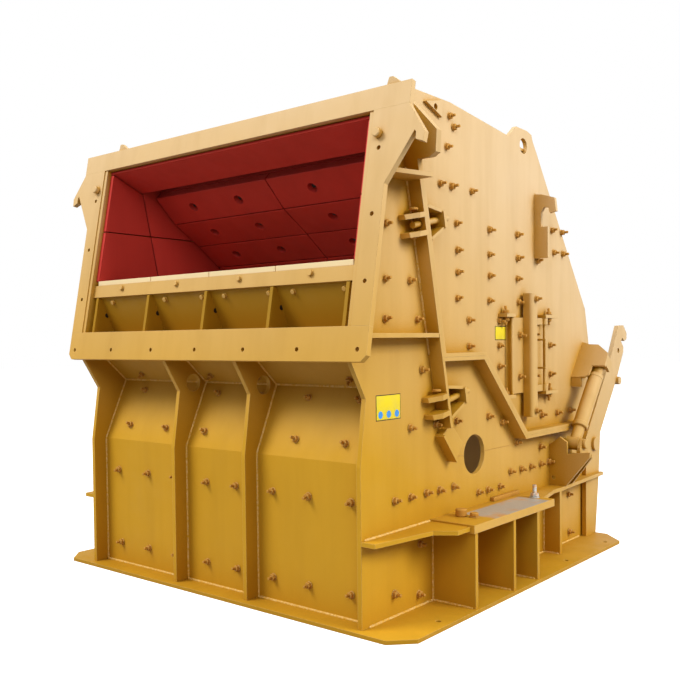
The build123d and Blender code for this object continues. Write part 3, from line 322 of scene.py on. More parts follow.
def weld_paint(name, colour, light):
    """Paint over the ripples of a weld bead, lightened in a ripple pattern towards the edge colour as a
    painted highlight, since the ripples catch more light than the plate.
    """
    tree, shader = new_material(name)
    ripple = noise(tree, scale=70.0, detail=3.0)
    set_inputs(tree, shader, {
        "Base Color": mixed(tree, ramp(tree, ripple, 0.0, 1.0, *SOFT), colour, light),
        "Roughness": 0.6,
        "Specular IOR Level": 0.1,
        "Normal": bumped(tree, ripple, strength=0.2, distance=0.002, rounded=0.001),
    })


def plate_film(name, colour):
    """Film of a notice plate, with a little dust on it."""
    tree, shader = new_material(name)
    dust = ramp(tree, noise(tree, scale=14.0, detail=5.0), 0.0, 0.35, start=0.4, end=0.75)
    skin = noise(tree, scale=60.0, detail=2.0)
    set_inputs(tree, shader, {
        "Base Color": mixed(tree, dust, colour, [part + 0.1 for part in darker(colour, 0.6)]),
        "Roughness": 0.4,
        "Specular IOR Level": 0.2,
        "Normal": bumped(tree, skin, strength=0.05, distance=0.0005, rounded=0.001),
    })


def seen_directly(tree):
    """Factor that is one for rays of the camera, gloss and glass, and nought for light on surfaces."""
    rays = add_node(tree, "LightPath")
    factor = rays.outputs["Is Camera Ray"]
    for name in ("Is Glossy Ray", "Is Transmission Ray"):
        factor = calculated(tree, "MAXIMUM", factor, rays.outputs[name])
    return factor


# Colours of the floor as it lights the object, and as it is seen
FLOOR_BOUNCE = (0.20, 0.19, 0.18)
FLOOR_SEEN = (0.80, 0.80, 0.80)


def floor_material(name, glow):
    """Pale floor that looks white and keeps the object's shadow."""
    tree, shader = new_material(name)
    direct = seen_directly(tree)
    set_inputs(tree, shader, {
        "Base Color": mixed(tree, direct, FLOOR_BOUNCE, FLOOR_SEEN),
        "Roughness": 0.9,
        "Emission Color": (1.0, 1.0, 1.0),
        "Emission Strength": ramp(tree, direct, 0.0, glow),
    })


# Modelling helpers

PAINT_ANGLE = 25.0
MERGE_DISTANCE = 0.00002
FLAT_ANGLE = 0.5
SMALLEST_SOLID = 4


def deselect_all():
    bpy.ops.object.select_all(action="DESELECT")


def select_only(*objects):
    """Select these objects, the first one active."""
    deselect_all()
    for obj in objects:
        obj.select_set(True)
    bpy.context.view_layer.objects.active = objects[0]


def apply_transform():
    """Bake the place, turn and scale of the new piece into its mesh."""
    bpy.ops.object.transform_apply(location=True, rotation=True, scale=True)


def joined(objects, name):
    """One object from several."""
    select_only(*objects)
    if len(objects) > 1:
        bpy.ops.object.join()
    piece = bpy.context.view_layer.objects.active
    piece.name = name
    piece.data.name = name
    return piece


def copied(pattern, matrix=None):
    """Copy of a pattern piece with its own mesh, put in place."""
    piece = pattern.copy()
    piece.data = pattern.data.copy()
    if matrix is not None:
        piece.data.transform(matrix)
    bpy.context.scene.collection.objects.link(piece)
    return piece


def discard(obj):
    """Remove a pattern piece after its copies are made."""
    mesh = obj.data
    bpy.data.objects.remove(obj)
    bpy.data.meshes.remove(mesh)


def dress(piece, material, body, angle=PAINT_ANGLE):
    """Give a finished piece its material, smooth shading and body."""
    piece.data.materials.clear()
    piece.data.materials.append(bpy.data.materials[material])
    select_only(piece)
    bpy.ops.object.shade_smooth_by_angle(angle=math.radians(angle))
    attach(piece, body)
    return piece


def facing(place, normal, spin=0.0):
    """Matrix that stands a pattern piece, made along +Z, on a place along a normal."""
    turn = Vector(normal).to_track_quat("Z", "Y").to_matrix().to_4x4()
    return Matrix.Translation(place) @ turn @ Matrix.Rotation(spin, 4, "Z")


def seat_on(node, start, direction):
    """Place and outward normal where a ray first meets a CAD node, or None."""
    hit, place, normal, _ = frame["nodes"][node].ray_cast(Vector(start), Vector(direction))
    if not hit:
        return None
    if normal.dot(Vector(direction)) > 0:
        normal = -normal
    return place, normal


def add_bevel(piece, width, segments=2):
    """Bevel the sharp edges of a piece."""
    select_only(piece)
    bevel = piece.modifiers.new("edge", "BEVEL")
    bevel.width = width
    bevel.segments = segments
    bevel.limit_method = "ANGLE"
    bpy.ops.object.modifier_apply(modifier=bevel.name)


def trim(piece, place, normal):
    """Cut away what lies beyond a plane, and close the cut."""
    select_only(piece)
    bpy.ops.object.mode_set(mode="EDIT")
    bpy.ops.mesh.select_all(action="SELECT")
    bpy.ops.mesh.bisect(plane_co=place, plane_no=normal, clear_outer=True, use_fill=True)
    bpy.ops.object.mode_set(mode="OBJECT")


def round_bar(radius, low, high, corners=20, chamfer=0.002):
    """Closed round bar along +Z from low to high, with chamfered ends."""
    deselect_all()
    bpy.ops.mesh.primitive_cylinder_add(
        vertices=corners, radius=radius, depth=high - low, location=(0, 0, (low + high) / 2))
    bar = bpy.context.object
    apply_transform()
    if chamfer > 0:
        add_bevel(bar, chamfer, 1)
    return bar


def bar_between(start, end, radius, corners=16, chamfer=0.002):
    """Round bar from one place to another."""
    start, end = Vector(start), Vector(end)
    bar = round_bar(radius, 0.0, (end - start).length, corners, chamfer)
    bar.data.transform(facing(start, end - start))
    return bar


def upright_bar(x, y, low, high, radius, corners=24, chamfer=0.002):
    """Upright round bar between two heights."""
    return bar_between((x, y, low), (x, y, high), radius, corners, chamfer)


def block(low, high, bevel=0.002, cuts=()):
    """Block between two corners, trimmed by planes: a place, and a normal that points at the waste."""
    deselect_all()
    bpy.ops.mesh.primitive_cube_add(size=1.0, location=[(a + b) / 2 for a, b in zip(low, high)])
    piece = bpy.context.object
    piece.scale = [abs(b - a) for a, b in zip(low, high)]
    apply_transform()
    for place, normal in cuts:
        trim(piece, place, normal)
    add_bevel(piece, bevel)
    return piece


def side_block(side, x_span, y_span, z_span, bevel=0.002, cuts=()):
    """Block on the right or left side, from places given for the right side."""
    low_x, high_x = sorted(side * x for x in x_span)
    return block((low_x, depth(y_span[0]), z_span[0]), (high_x, depth(y_span[1]), z_span[1]), bevel, cuts)


def node_copy(node):
    """Copy of a CAD node's mesh with its corners merged and its flat faces whole."""
    piece = bpy.data.objects.new(node + "_copy", frame["nodes"][node].data.copy())
    bpy.context.scene.collection.objects.link(piece)
    select_only(piece)
    bpy.ops.object.mode_set(mode="EDIT")
    bpy.ops.mesh.select_all(action="SELECT")
    bpy.ops.mesh.remove_doubles(threshold=MERGE_DISTANCE)
    bpy.ops.mesh.dissolve_limited(angle_limit=math.radians(FLAT_ANGLE))
    bpy.ops.object.mode_set(mode="OBJECT")
    return piece


def split(piece, place, normal, gap):
    """Two pieces from one, with a gap between them."""
    place, normal = Vector(place), Vector(normal).normalized()
    other = copied(piece)
    trim(piece, place - normal * gap / 2, normal)
    trim(other, place + normal * gap / 2, -normal)
    return [part for part in (piece, other) if len(part.data.polygons) >= SMALLEST_SOLID]


def cut_out(piece, cutter):
    """Take a cutter's shape out of a piece."""
    select_only(piece)
    cut = piece.modifiers.new("cut", "BOOLEAN")
    cut.operation = "DIFFERENCE"
    cut.solver = "EXACT"
    cut.object = cutter
    bpy.ops.object.modifier_apply(modifier=cut.name)
    discard(cutter)


# Bolts and nuts

HEXAGON = 6
WASHER_CORNERS = 18
STUD_CORNERS = 10
BOLT_SHARE = 0.8
BOLT_HEAD_HEIGHT = 0.012
STUD_LEAN = 0.14
STUD_SIZES = (0.93, 1.07)


def stud_pattern(sizes):
    """Washer, nut and stud end, standing on the XY plane."""
    nut_top = sizes.washer_height + sizes.nut_height
    washer = round_bar(sizes.washer_radius, 0.0, sizes.washer_height, WASHER_CORNERS, chamfer=0.001)
    nut = round_bar(sizes.nut_radius, sizes.washer_height, nut_top, HEXAGON, chamfer=0.0015)
    stud = round_bar(sizes.stud_radius, nut_top, nut_top + sizes.stud_height, STUD_CORNERS, chamfer=0.0015)
    return joined([washer, nut, stud], "stud_pattern")


def bolt_pattern(sizes):
    """Washer and hexagon head, standing on the XY plane."""
    low, high = sizes.washer_height, sizes.washer_height + BOLT_HEAD_HEIGHT
    washer = round_bar(sizes.washer_radius * BOLT_SHARE, 0.0, low, WASHER_CORNERS, chamfer=0.001)
    head = round_bar(sizes.nut_radius * BOLT_SHARE, low, high, HEXAGON, chamfer=0.002)
    return joined([washer, head], "bolt_pattern")


def placed_copies(pattern, seats, seed, lean=STUD_LEAN):
    """Copies of a pattern on their seats, each turned and leant a little by chance."""
    rng = random.Random(seed)
    copies = []
    for place, normal in seats:
        tilt = Vector([rng.uniform(-lean, lean) for _ in range(3)])
        matrix = facing(place, (Vector(normal) + tilt).normalized(), rng.uniform(0.0, math.pi))
        copies.append(copied(pattern, matrix @ Matrix.Scale(rng.uniform(*STUD_SIZES), 4)))
    return copies


def studs_on(name, seats, sizes, body, seed):
    """A group of studs on their seats as one piece."""
    pattern = stud_pattern(sizes)
    studs = joined(placed_copies(pattern, seats, seed), name)
    discard(pattern)
    return dress(studs, "stud_paint", body)


def bolts_on(name, seats, sizes, body, seed, material="ochre_coat"):
    """A group of hexagon heads on their seats as one piece."""
    pattern = bolt_pattern(sizes)
    bolts = joined(placed_copies(pattern, seats, seed, lean=0.0), name)
    discard(pattern)
    return dress(bolts, material, body)


# Bolt rows: heights, and places across the machine or back from the side plates' front edge, in metres

FRONT_ROWS = (
    (0.146, (-0.886, -0.620, -0.370, -0.101, 0.140, 0.410, 0.658, 0.931)),
    (0.594, (-0.904, -0.620, -0.370, -0.100, 0.136, 0.411, 0.660, 0.934)),
    (0.866, (-0.831, -0.491, -0.153, 0.205, 0.545, 0.872)),
    (1.075, (-0.800, -0.466, -0.134, 0.218, 0.556, 0.893)),
    (1.180, (-0.810, -0.494, -0.178, 0.195, 0.842)),
)
HOUSING_ROWS = (
    (2.546, (0.782,)),
    (2.493, (0.819,)),
    (2.381, (0.752,)),
    (2.178, (0.685, 0.796, 1.000)),
    (2.055, (1.982, 2.122)),
    (1.988, (0.840, 1.190, 1.516)),
    (1.918, (2.008, 2.136)),
    (1.848, (0.851, 1.189, 1.522, 1.781)),
    (1.728, (0.850, 1.192, 1.521)),
    (1.588, (0.848, 1.186, 1.530)),
    (1.474, (0.961, 1.299)),
    (1.332, (0.961, 1.297)),
    (1.402, (1.583,)),
    (1.326, (1.946,)),
    (1.210, (1.295,)),
    (1.141, (1.586, 1.951)),
    (0.890, (1.826, 2.042, 2.240)),
)
SIDE_ROWS = (
    (1.928, (0.209,)),
    (1.663, (0.204, 0.405)),
    (1.472, (0.198, 0.469)),
    (1.218, (0.503,)),
    (0.932, (0.398, 0.624, 0.828, 1.168)),
    (0.884, (1.320,)),
    (0.586, (0.261, 0.398, 0.534, 0.658, 0.793, 1.419, 1.554, 1.680, 1.809, 1.918)),
    (0.516, (1.051, 1.155, 1.292)),
    (0.750, (1.496,)),
    (0.695, (1.810,)),
    (0.335, (0.475, 2.207)),
    (0.084, (0.463, 2.220)),
    (0.134, (0.254,)),
)
BACK_ROW_HEIGHTS = (0.95, 1.25, 1.70, 1.95, 2.20)
BACK_ROW_PLACES = (-0.86, -0.52, -0.17, 0.17, 0.52, 0.86)
LIP_BOLT_ROWS = ((1.695, (-0.752, -0.253, 0.253, 0.752)),)
BAY_BOLT_ROWS = ((1.617, (-0.873, -0.378, -0.062, 0.117, 0.448, 0.616, 0.947)),)

# Joints between liner plates
LINER_SPLIT_Z = 2.057
LINER_SPLIT_GAP = 0.006
LINER_BEVEL = 0.002
LIP_SPLIT_XS = (-0.497, 0.003, 0.503)
LIP_SPLIT_GAP = 0.005

# Pockets of the apron's bolts
APRON_ROWS = 4
POCKET_XS = (-0.715, -0.300, 0.300, 0.715)
POCKET_FOOT_R = 0.02232
POCKET_MOUTH_R = 0.03565
POCKET_CORNERS = 20
POCKET_DEPTH = 0.032
POCKET_ABOVE = 0.008
POCKET_RAY = (0, 0.7071, 0.7071)
POCKET_RAY_BACK = 0.3
APRON_BEVEL = 0.006
APRON_ANGLE = 4.0

# Wall liners inside the rear housing: stretches of depth and height, gaps to the inlet's liners and the wall,
# and a place on the slope of the roof over them with its normal
HOUSING_LINER_YS = (0.25, 1.62)
HOUSING_LINER_ZS = (1.42, 2.50)
HOUSING_LINER_GAP = 0.004
HOUSING_LINER_SIDE_GAP = 0.001
ROOF_PLACE = (0.80, 2.52)
ROOF_NORMAL = (0, 0.25, 1.0)

# Seeds of the groups of bolts, in the order of the groups
FRONT_SEED, BACK_SEED, LOWER_SEED, UPPER_SEED, LIP_SEED, BAY_SEED = range(1, 7)
APRON_SEED, DOOR_SEED, LUG_SEED = 10, 20, 21


def colour_value(name, description, default):
    """Colour that a user can change."""
    return FloatVectorProperty(name=name, description=description, subtype="COLOR", default=default)


def length_value(name, description, default):
    """Length that a user can change."""
    return FloatProperty(name=name, description=description, default=default, unit="LENGTH")


def power_value(name, description, default):
    """Power of a lamp that a user can change."""
    return FloatProperty(name=name, description=description, default=default, unit="POWER")


class CRUSHER_PG_paint(PropertyGroup):
    """Colours of the paint and the bare steel."""
    body: colour_value("Body paint", "Main paint of the steelwork", (0.66, 0.350, 0.022))
    # Painted light: the body paint turns this paler colour on the upper part and towards the back
    top_light: colour_value("Painted top light", "Body paint lightened on the upper part as painted light", (0.79, 0.575, 0.33))
    # Colour of paint runs, and of the painted shade in corners and recesses
    shade: colour_value("Shade", "Paint in streaks, and painted shade in corners and recesses", (0.36, 0.165, 0.006))
    # Colour of worn paint with a painted highlight on edges
    light: colour_value("Edge", "Worn paint with a painted highlight on edges", (0.80, 0.56, 0.22))
    # Paler paint of the feed plates
    pale: colour_value("Pale paint", "Paler paint of the feed plates", (0.98, 0.78, 0.44))
    stud: colour_value("Stud paint", "Paint and rust on studs and nuts", (0.60, 0.29, 0.045))
    red: colour_value("Liner paint", "Paint of the apron and liners", (0.72, 0.062, 0.046))
    # Painted shade of the liner paint in corners and recesses
    red_shade: colour_value("Liner shade", "Painted shade of the liner paint in corners", (0.28, 0.016, 0.012))
    red_light: colour_value("Liner edge", "Worn liner paint with a painted highlight on edges", (0.80, 0.07, 0.05))
    steel: colour_value("Machined steel", "Bare machined plates", (0.60, 0.59, 0.55))
    rust: colour_value("Rust", "Thin rust on bare steel", (0.62, 0.33, 0.12))
    film: colour_value("Notice film", "Film of the notice plates", (0.90, 0.70, 0.02))
    spot: colour_value("Notice spots", "Round spots on the front notice", (0.06, 0.32, 0.80))


class CRUSHER_PG_studs(PropertyGroup):
    """Sizes of the studs and nuts that hold the liners."""
    washer_radius: length_value("Washer radius", "Radius of the washer", 0.020)
    washer_height: length_value("Washer height", "Thickness of the washer", 0.003)
    nut_radius: length_value("Nut radius", "Radius over the nut's corners", 0.018)
    nut_height: length_value("Nut height", "Height of the nut", 0.017)
    stud_radius: length_value("Stud radius", "Radius of the stud", 0.008)
    stud_height: length_value("Stud end", "Stud above the nut", 0.024)


class CRUSHER_PG_welds(PropertyGroup):
    """Size of the weld beads."""
    radius: length_value("Bead radius", "Radius of a bead's ripples", 0.008)
    pitch: length_value("Ripple pitch", "Spacing of the ripples", 0.009)


class CRUSHER_PG_stage(PropertyGroup):
    """Floor and light."""
    floor_size: length_value("Floor size", "Side of the square floor", 80.0)
    front_power: power_value("Front light", "Power of the lamp at the front left", 2250.0)
    side_power: power_value("Side light", "Power of the lamp at the right", 2200.0)
    fill_power: power_value("Fill light", "Power of the lamp at the front right", 290.0)


# Paint of each of the record's slots, and the pieces that wear another paint: red liners, and bays in a
# darker copy of the body paint as painted shade
SLOT_PAINTS = {"ochre_paint": "ochre_coat", "red_paint": "red_coat", "machined_steel": "seat_steel"}
RED_PIECES = ("apron_hanger", "apron_frame", "inlet_roof")
SHADED_PIECES = ("bay_wall", "bay_gussets")


def make_paints(colours):
    """Every material by name, made once."""
    steel_paint("ochre_coat", colours.body, colours.shade, colours.light, colours.top_light)
    # Painted shade: a darker copy of the body paint for the bays, which lie in shade
    steel_paint("shaded_coat", darker(colours.body, 0.62), colours.shade, colours.body)
    steel_paint("stud_paint", colours.stud, darker(colours.stud, 0.6), colours.light)
    steel_paint("red_coat", colours.red, colours.red_shade, colours.red_light)
    # Paler paint of the feed plates, with the painted top light colour in its corners and runs
    steel_paint("pale_paint", colours.pale, colours.top_light, colours.pale)
    seat_paint("seat_steel", colours)
    bare_steel("bare_steel", colours.steel, colours.rust)
    bare_steel("dark_steel_and_shade", DARK_STEEL_AND_SHADE, DARK_RUST)
    weld_paint("weld_paint", colours.body, colours.light)
    plate_film("notice_film", colours.film)
    plate_film("blue_film", colours.spot)


class CRUSHER_OT_paint(Operator):
    """Make the paints and put them on the CAD pieces by the record's slots"""
    bl_idname = "crusher.paint"
    bl_label = "Paint the steelwork"

    def execute(self, context):
        make_paints(context.scene.crusher_paint)
        slots = {part["node"]: part["material_slot"] for part in frame["record"]["subparts"]}
        paints = {name: SLOT_PAINTS.get(slot, "ochre_coat") for name, slot in slots.items()}
        paints.update(dict.fromkeys(RED_PIECES, "red_coat"))
        paints.update(dict.fromkeys(SHADED_PIECES, "shaded_coat"))
        for name, node in frame["nodes"].items():
            node.data.materials.clear()
            node.data.materials.append(bpy.data.materials[paints[name]])
        return {"FINISHED"}


def seats_on(node, starts, direction):
    """Seats where rays from these starts first meet a CAD node."""
    seats = [seat_on(node, start, direction) for start in starts]
    return [seat for seat in seats if seat is not None]


def side_seats(node, rows, side):
    """Seats of bolt rows on the outer face of a side."""
    starts = [(side * RAY_START, depth(y), height) for height, places in rows for y in places]
    return seats_on(node, starts, (-side, 0, 0))


def front_seats(node, rows):
    """Seats of bolt rows across the machine, on a node's front face."""
    return seats_on(node, [(x, -RAY_START, height) for height, places in rows for x in places], (0, 1, 0))


class CRUSHER_OT_studs(Operator):
    """Put the liner studs with their nuts on the walls"""
    bl_idname = "crusher.studs"
    bl_label = "Liner studs"

    def execute(self, context):
        sizes = context.scene.crusher_studs
        studs_on("front_wall_studs", front_seats("front_wall", FRONT_ROWS), sizes, FRAME_BODY, FRONT_SEED)
        starts = [(x, RAY_START, height) for height in BACK_ROW_HEIGHTS for x in BACK_ROW_PLACES]
        back = seats_on("housing_back", starts, (0, -1, 0))
        studs_on("housing_back_studs", back, sizes, HOUSING_BODY, BACK_SEED)
        for name, side in SIDES.items():
            lower = side_seats(f"side_plate_{name}", SIDE_ROWS, side)
            studs_on(f"side_plate_studs_{name}", lower, sizes, FRAME_BODY, LOWER_SEED)
            upper = side_seats(f"housing_side_{name}", HOUSING_ROWS, side)
            studs_on(f"housing_side_studs_{name}", upper, sizes, HOUSING_BODY, UPPER_SEED)
        bolts_on("lip_bolts", front_seats("feed_lip", LIP_BOLT_ROWS), sizes, FRAME_BODY, LIP_SEED)
        bolts_on("bay_bolts", front_seats("bay_wall", BAY_BOLT_ROWS), sizes, FRAME_BODY, BAY_SEED)
        return {"FINISHED"}


def pocket_cutter(place, normal):
    """Tapered plug that cuts a bolt pocket."""
    deselect_all()
    bpy.ops.mesh.primitive_cone_add(
        vertices=POCKET_CORNERS, radius1=POCKET_FOOT_R, radius2=POCKET_MOUTH_R,
        depth=POCKET_DEPTH + POCKET_ABOVE, location=(0, 0, (POCKET_ABOVE - POCKET_DEPTH) / 2))
    cutter = bpy.context.object
    apply_transform()
    cutter.data.transform(facing(place, normal))
    return cutter


def apron_row(index, sizes):
    """Apron plates of one row with their bolt pockets, and the bolts in them."""
    node = f"apron_row_{index}"
    low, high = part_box(node)
    y, z = (low.y + high.y) / 2 - POCKET_RAY_BACK, (low.z + high.z) / 2 - POCKET_RAY_BACK
    seats = [seat_on(node, (x, y, z), POCKET_RAY) for x in POCKET_XS]
    plates = node_copy(node)
    add_bevel(plates, APRON_BEVEL)
    for place, normal in seats:
        cut_out(plates, pocket_cutter(place, normal))
    plates.name = f"apron_plates_{index}"
    dress(plates, "red_coat", HOUSING_BODY, APRON_ANGLE)
    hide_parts(node)
    floors = [(place - normal * POCKET_DEPTH, normal) for place, normal in seats]
    # Near-black bolts at the pockets' floors, which darken the pockets as painted shade
    bolts_on(f"apron_bolts_{index}", floors, sizes, HOUSING_BODY, APRON_SEED + index, "dark_steel_and_shade")


def housing_liners(side, name):
    """Wall liners inside the rear housing, level with the inlet's, in two courses."""
    lean = Vector((0, math.cos(JOINT_LEAN), math.sin(JOINT_LEAN)))
    set_back = LINER_SPLIT_GAP + HOUSING_LINER_GAP
    joint = Vector((0, joint_depth(LINER_SPLIT_Z), LINER_SPLIT_Z)) + lean * set_back
    roof_y, roof_z = ROOF_PLACE
    cuts = [(joint, -lean), ((0, depth(roof_y), roof_z), ROOF_NORMAL)]
    bottom, top = HOUSING_LINER_ZS
    courses = ((bottom, LINER_SPLIT_Z - LINER_SPLIT_GAP / 2), (LINER_SPLIT_Z + LINER_SPLIT_GAP / 2, top))
    x_span = (LINER_X, WALL_INNER_X - HOUSING_LINER_SIDE_GAP)
    liners = [side_block(side, x_span, HOUSING_LINER_YS, z_span, bevel=0.003, cuts=cuts)
              for z_span in courses]
    dress(joined(liners, f"housing_liners_{name}"), "red_coat", HOUSING_BODY)


class CRUSHER_OT_liners(Operator):
    """Split the liners into plates, and give the apron its bolt pockets"""
    bl_idname = "crusher.liners"
    bl_label = "Liners and apron"

    def execute(self, context):
        sizes = context.scene.crusher_studs
        for index in range(1, APRON_ROWS + 1):
            apron_row(index, sizes)
        for name, side in SIDES.items():
            housing_liners(side, name)
        walls = joined(split(node_copy("inlet_liners"), (0, 0, LINER_SPLIT_Z), (0, 0, 1), LINER_SPLIT_GAP),
                       "inlet_liner_plates")
        add_bevel(walls, LINER_BEVEL)
        dress(walls, "red_coat", FRAME_BODY)
        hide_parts("inlet_liners")
        plates = [node_copy("feed_plate")]
        for x in LIP_SPLIT_XS:
            plates += split(plates.pop(), (x, 0, 0), (1, 0, 0), LIP_SPLIT_GAP)
        lip = joined(plates, "feed_plates")
        add_bevel(lip, LINER_BEVEL)
        dress(lip, "pale_paint", FRAME_BODY)
        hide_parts("feed_plate")
        return {"FINISHED"}


# Weld seams

RIB_FACE_XS = (-1.035, -0.2955, -0.2705, 0.2705, 0.2955, 1.035)
WALL_BENDS = (0.030, 0.780, 1.138, 1.385)
WAIST_Z = 1.138
FOOT_SPANS = ((-1.03, -0.30), (-0.265, 0.265), (0.30, 1.03))
PEDESTAL_FACE_YS = (0.592, 0.617, 0.988, 1.013, 1.262, 1.287)
POST_RIB_FACE_YS = (1.853, 1.878)
PEDESTAL_SPANS = ((0.06, 0.59), (0.62, 0.985), (1.015, 1.26), (1.29, 1.85), (1.88, 2.38))
SHELF_UNDER_Z = 0.40
PEDESTAL_END_X = 1.30
RIB_END_X = 1.165
SHELF_SEAM = ((0.03, 0.57), 0.437)
FLANGE_SEAM_ZS = (1.30, 2.22)
FLANGE_T = 0.020
RIPPLE_STRETCH = 1.25
SEAM_LIFT = 0.002
SEAM_OUT = 0.001
SEAM_PROBE_X = 0.1
RIB_ASIDE = 0.998


def seam_points(pairs):
    """Pairs of ends as vectors."""
    return [(Vector(start), Vector(end)) for start, end in pairs]


def weld_pattern(radius):
    """One ripple of a weld bead."""
    deselect_all()
    bpy.ops.mesh.primitive_ico_sphere_add(subdivisions=1, radius=radius)
    ripple = bpy.context.object
    ripple.scale = (1.0, 1.0, RIPPLE_STRETCH)
    apply_transform()
    return ripple


def weld_runs(name, runs, sizes, body):
    """Weld beads between pairs of ends, as rows of ripples in one piece."""
    pattern = weld_pattern(sizes.radius)
    beads = []
    for start, end in runs:
        run = copied(pattern)
        count = max(2, int((end - start).length / sizes.pitch))
        row = run.modifiers.new("row", "ARRAY")
        row.count = count
        row.use_relative_offset = False
        row.use_constant_offset = True
        row.constant_offset_displace = (0, 0, (end - start).length / count)
        select_only(run)
        bpy.ops.object.modifier_apply(modifier=row.name)
        run.data.transform(facing(start, end - start))
        beads.append(run)
    discard(pattern)
    return dress(joined(beads, name), "weld_paint", body, angle=180.0)


def wall_seams():
    """Seams of the front wall: down the ribs, along its foot and across its waist."""
    runs = []
    for x in RIB_FACE_XS:
        aside = x * RIB_ASIDE
        corners = [seat_on("front_wall", (aside, -RAY_START, z), (0, 1, 0)) for z in WALL_BENDS]
        corners = [(corner[0].x, corner[0].y, corner[0].z) for corner in corners if corner is not None]
        runs += [((x, *start[1:]), (x, *end[1:])) for start, end in zip(corners, corners[1:])]
    foot = seat_on("front_wall", (SEAM_PROBE_X, -RAY_START, WALL_BENDS[0]), (0, 1, 0))[0].y
    waist = seat_on("front_wall", (SEAM_PROBE_X, -RAY_START, WAIST_Z), (0, 1, 0))[0].y
    for low, high in FOOT_SPANS:
        runs.append(((low, foot, BASE_TOP + SEAM_LIFT), (high, foot, BASE_TOP + SEAM_LIFT)))
        runs.append(((low, waist, WAIST_Z), (high, waist, WAIST_Z)))
    return seam_points(runs)


def side_seams(side):
    """Seams on one side: pedestal ribs, base, shelf and the flange up the inlet joint."""
    x, foot = side * (SIDE_X + SEAM_OUT), BASE_TOP + SEAM_LIFT
    runs = []
    for y in PEDESTAL_FACE_YS + POST_RIB_FACE_YS:
        reach = PEDESTAL_END_X if y < POST_RIB_FACE_YS[0] else RIB_END_X
        runs.append(((x, depth(y), foot), (x, depth(y), SHELF_UNDER_Z)))
        runs.append(((x, depth(y), foot), (side * reach, depth(y), foot)))
    for low, high in PEDESTAL_SPANS:
        runs.append(((x, depth(low), foot), (x, depth(high), foot)))
    (low, high), z = SHELF_SEAM
    runs.append(((x, depth(low), z), (x, depth(high), z)))
    low, high = FLANGE_SEAM_ZS
    runs.append(((x, joint_depth(low) - FLANGE_T, low), (x, joint_depth(high) - FLANGE_T, high)))
    return seam_points(runs)


class CRUSHER_OT_welds(Operator):
    """Lay the weld beads in the corners of the plates"""
    bl_idname = "crusher.welds"
    bl_label = "Weld beads"

    def execute(self, context):
        sizes = context.scene.crusher_welds
        weld_runs("front_wall_welds", wall_seams(), sizes, FRAME_BODY)
        for name, side in SIDES.items():
            weld_runs(f"side_welds_{name}", side_seams(side), sizes, FRAME_BODY)
        return {"FINISHED"}


# Fittings of the inlet, the clamps and the plates

ROUND_HEAD = (1.105, 2.325, 0.022, 0.030)
GUSSET_HOLE_XS = (-0.99, -0.495, 0.0, 0.495)
GUSSET_HOLE = (0.070, 1.540, 0.014)
GUSSET_SHADE_DISC = (-0.004, 0.0008)
GUSSET_PROBE = 0.2
CLAMP_LINES = (1.946, 1.045)
CLAMP_PIN_X = 1.100
CLAMP_PIN_SET = 0.064
CLAMP_HALF = 0.057
CLAMP_PIN_GAP = 0.001
# Height and radius of the pieces of a clamp pin, and the half spans, drop and radius of its split pin
PIN_TAIL = (0.026, 0.014)
PIN_WASHER = (0.006, 0.024)
PIN_HEAD = (0.014, 0.023)
SPLIT_PIN = (0.024, 0.006, 0.016, 0.003)
NOTICES = (("notice_front", FRAME_BODY, (0.122, 0.320), (0.985, 1.108)),
           ("notice_door", HOUSING_BODY, (1.253, 1.380), (1.362, 1.443)))
SPOT_YS = (0.156, 0.222, 0.288)
SPOT_Z = 1.013
SPOT_R = 0.018
FINE_BEVEL = 0.0003
# How far the notice's plate, film and spots stand out from the side, and the plate's edge round the film
NOTICE_PLATE = 0.0008
NOTICE_FILM = (0.0006, 0.0016)
NOTICE_SPOT = (0.0012, 0.0022)
NOTICE_EDGE = 0.004
PLATE_SEAMS = ((0.800, 0.902), (1.130, 1.430))
PLATE_SEAM_Z = 0.738
PLATE_SEAM_HEIGHT = 0.003
PLATE_SEAM_OUT = 0.001


class CRUSHER_OT_inlet(Operator):
    """Fit the round heads of the inlet, and near-black discs on its gussets as painted shade of their drain
    holes
    """
    bl_idname = "crusher.inlet"
    bl_label = "Inlet fittings"

    def execute(self, context):
        x, z, radius, height = ROUND_HEAD
        heads = []
        for side in SIDES.values():
            place, normal = seat_on("inlet_posts", (side * x, -RAY_START, z), (0, 1, 0))
            head = round_bar(radius, 0.0, height, 24, chamfer=0.004)
            head.data.transform(facing(place, normal))
            heads.append(head)
        dress(joined(heads, "inlet_round_heads"), "ochre_coat", FRAME_BODY)
        # Painted shade: near-black discs on the gussets stand for the dark of their drain holes
        shade_discs = []
        y, z, radius = GUSSET_HOLE
        for x in GUSSET_HOLE_XS:
            seat = seat_on("bay_gussets", (x + GUSSET_PROBE, depth(y), z), (-1, 0, 0))
            if seat is not None:
                shade_disc = round_bar(radius, *GUSSET_SHADE_DISC, chamfer=FINE_BEVEL)
                shade_disc.data.transform(facing(*seat))
                shade_discs.append(shade_disc)
        dress(joined(shade_discs, "gusset_hole_shade"), "dark_steel_and_shade", FRAME_BODY)
        return {"FINISHED"}


def clamp_pin(x, y, low, high):
    """Ends, washer and split pin of a clamp's cross pin, below and above the clamp."""
    (tail, tail_r), (washer, washer_r), (head, head_r) = PIN_TAIL, PIN_WASHER, PIN_HEAD
    half_x, half_y, drop, split_r = SPLIT_PIN
    start = (x - half_x, y - half_y, low - drop)
    end = (x + half_x, y + half_y, low - drop)
    return [upright_bar(x, y, low - tail, low, tail_r, corners=16),
            upright_bar(x, y, low - washer, low - CLAMP_PIN_GAP, washer_r),
            upright_bar(x, y, high + CLAMP_PIN_GAP, high + head, head_r, chamfer=0.003),
            bar_between(start, end, split_r, corners=8, chamfer=0.001)]


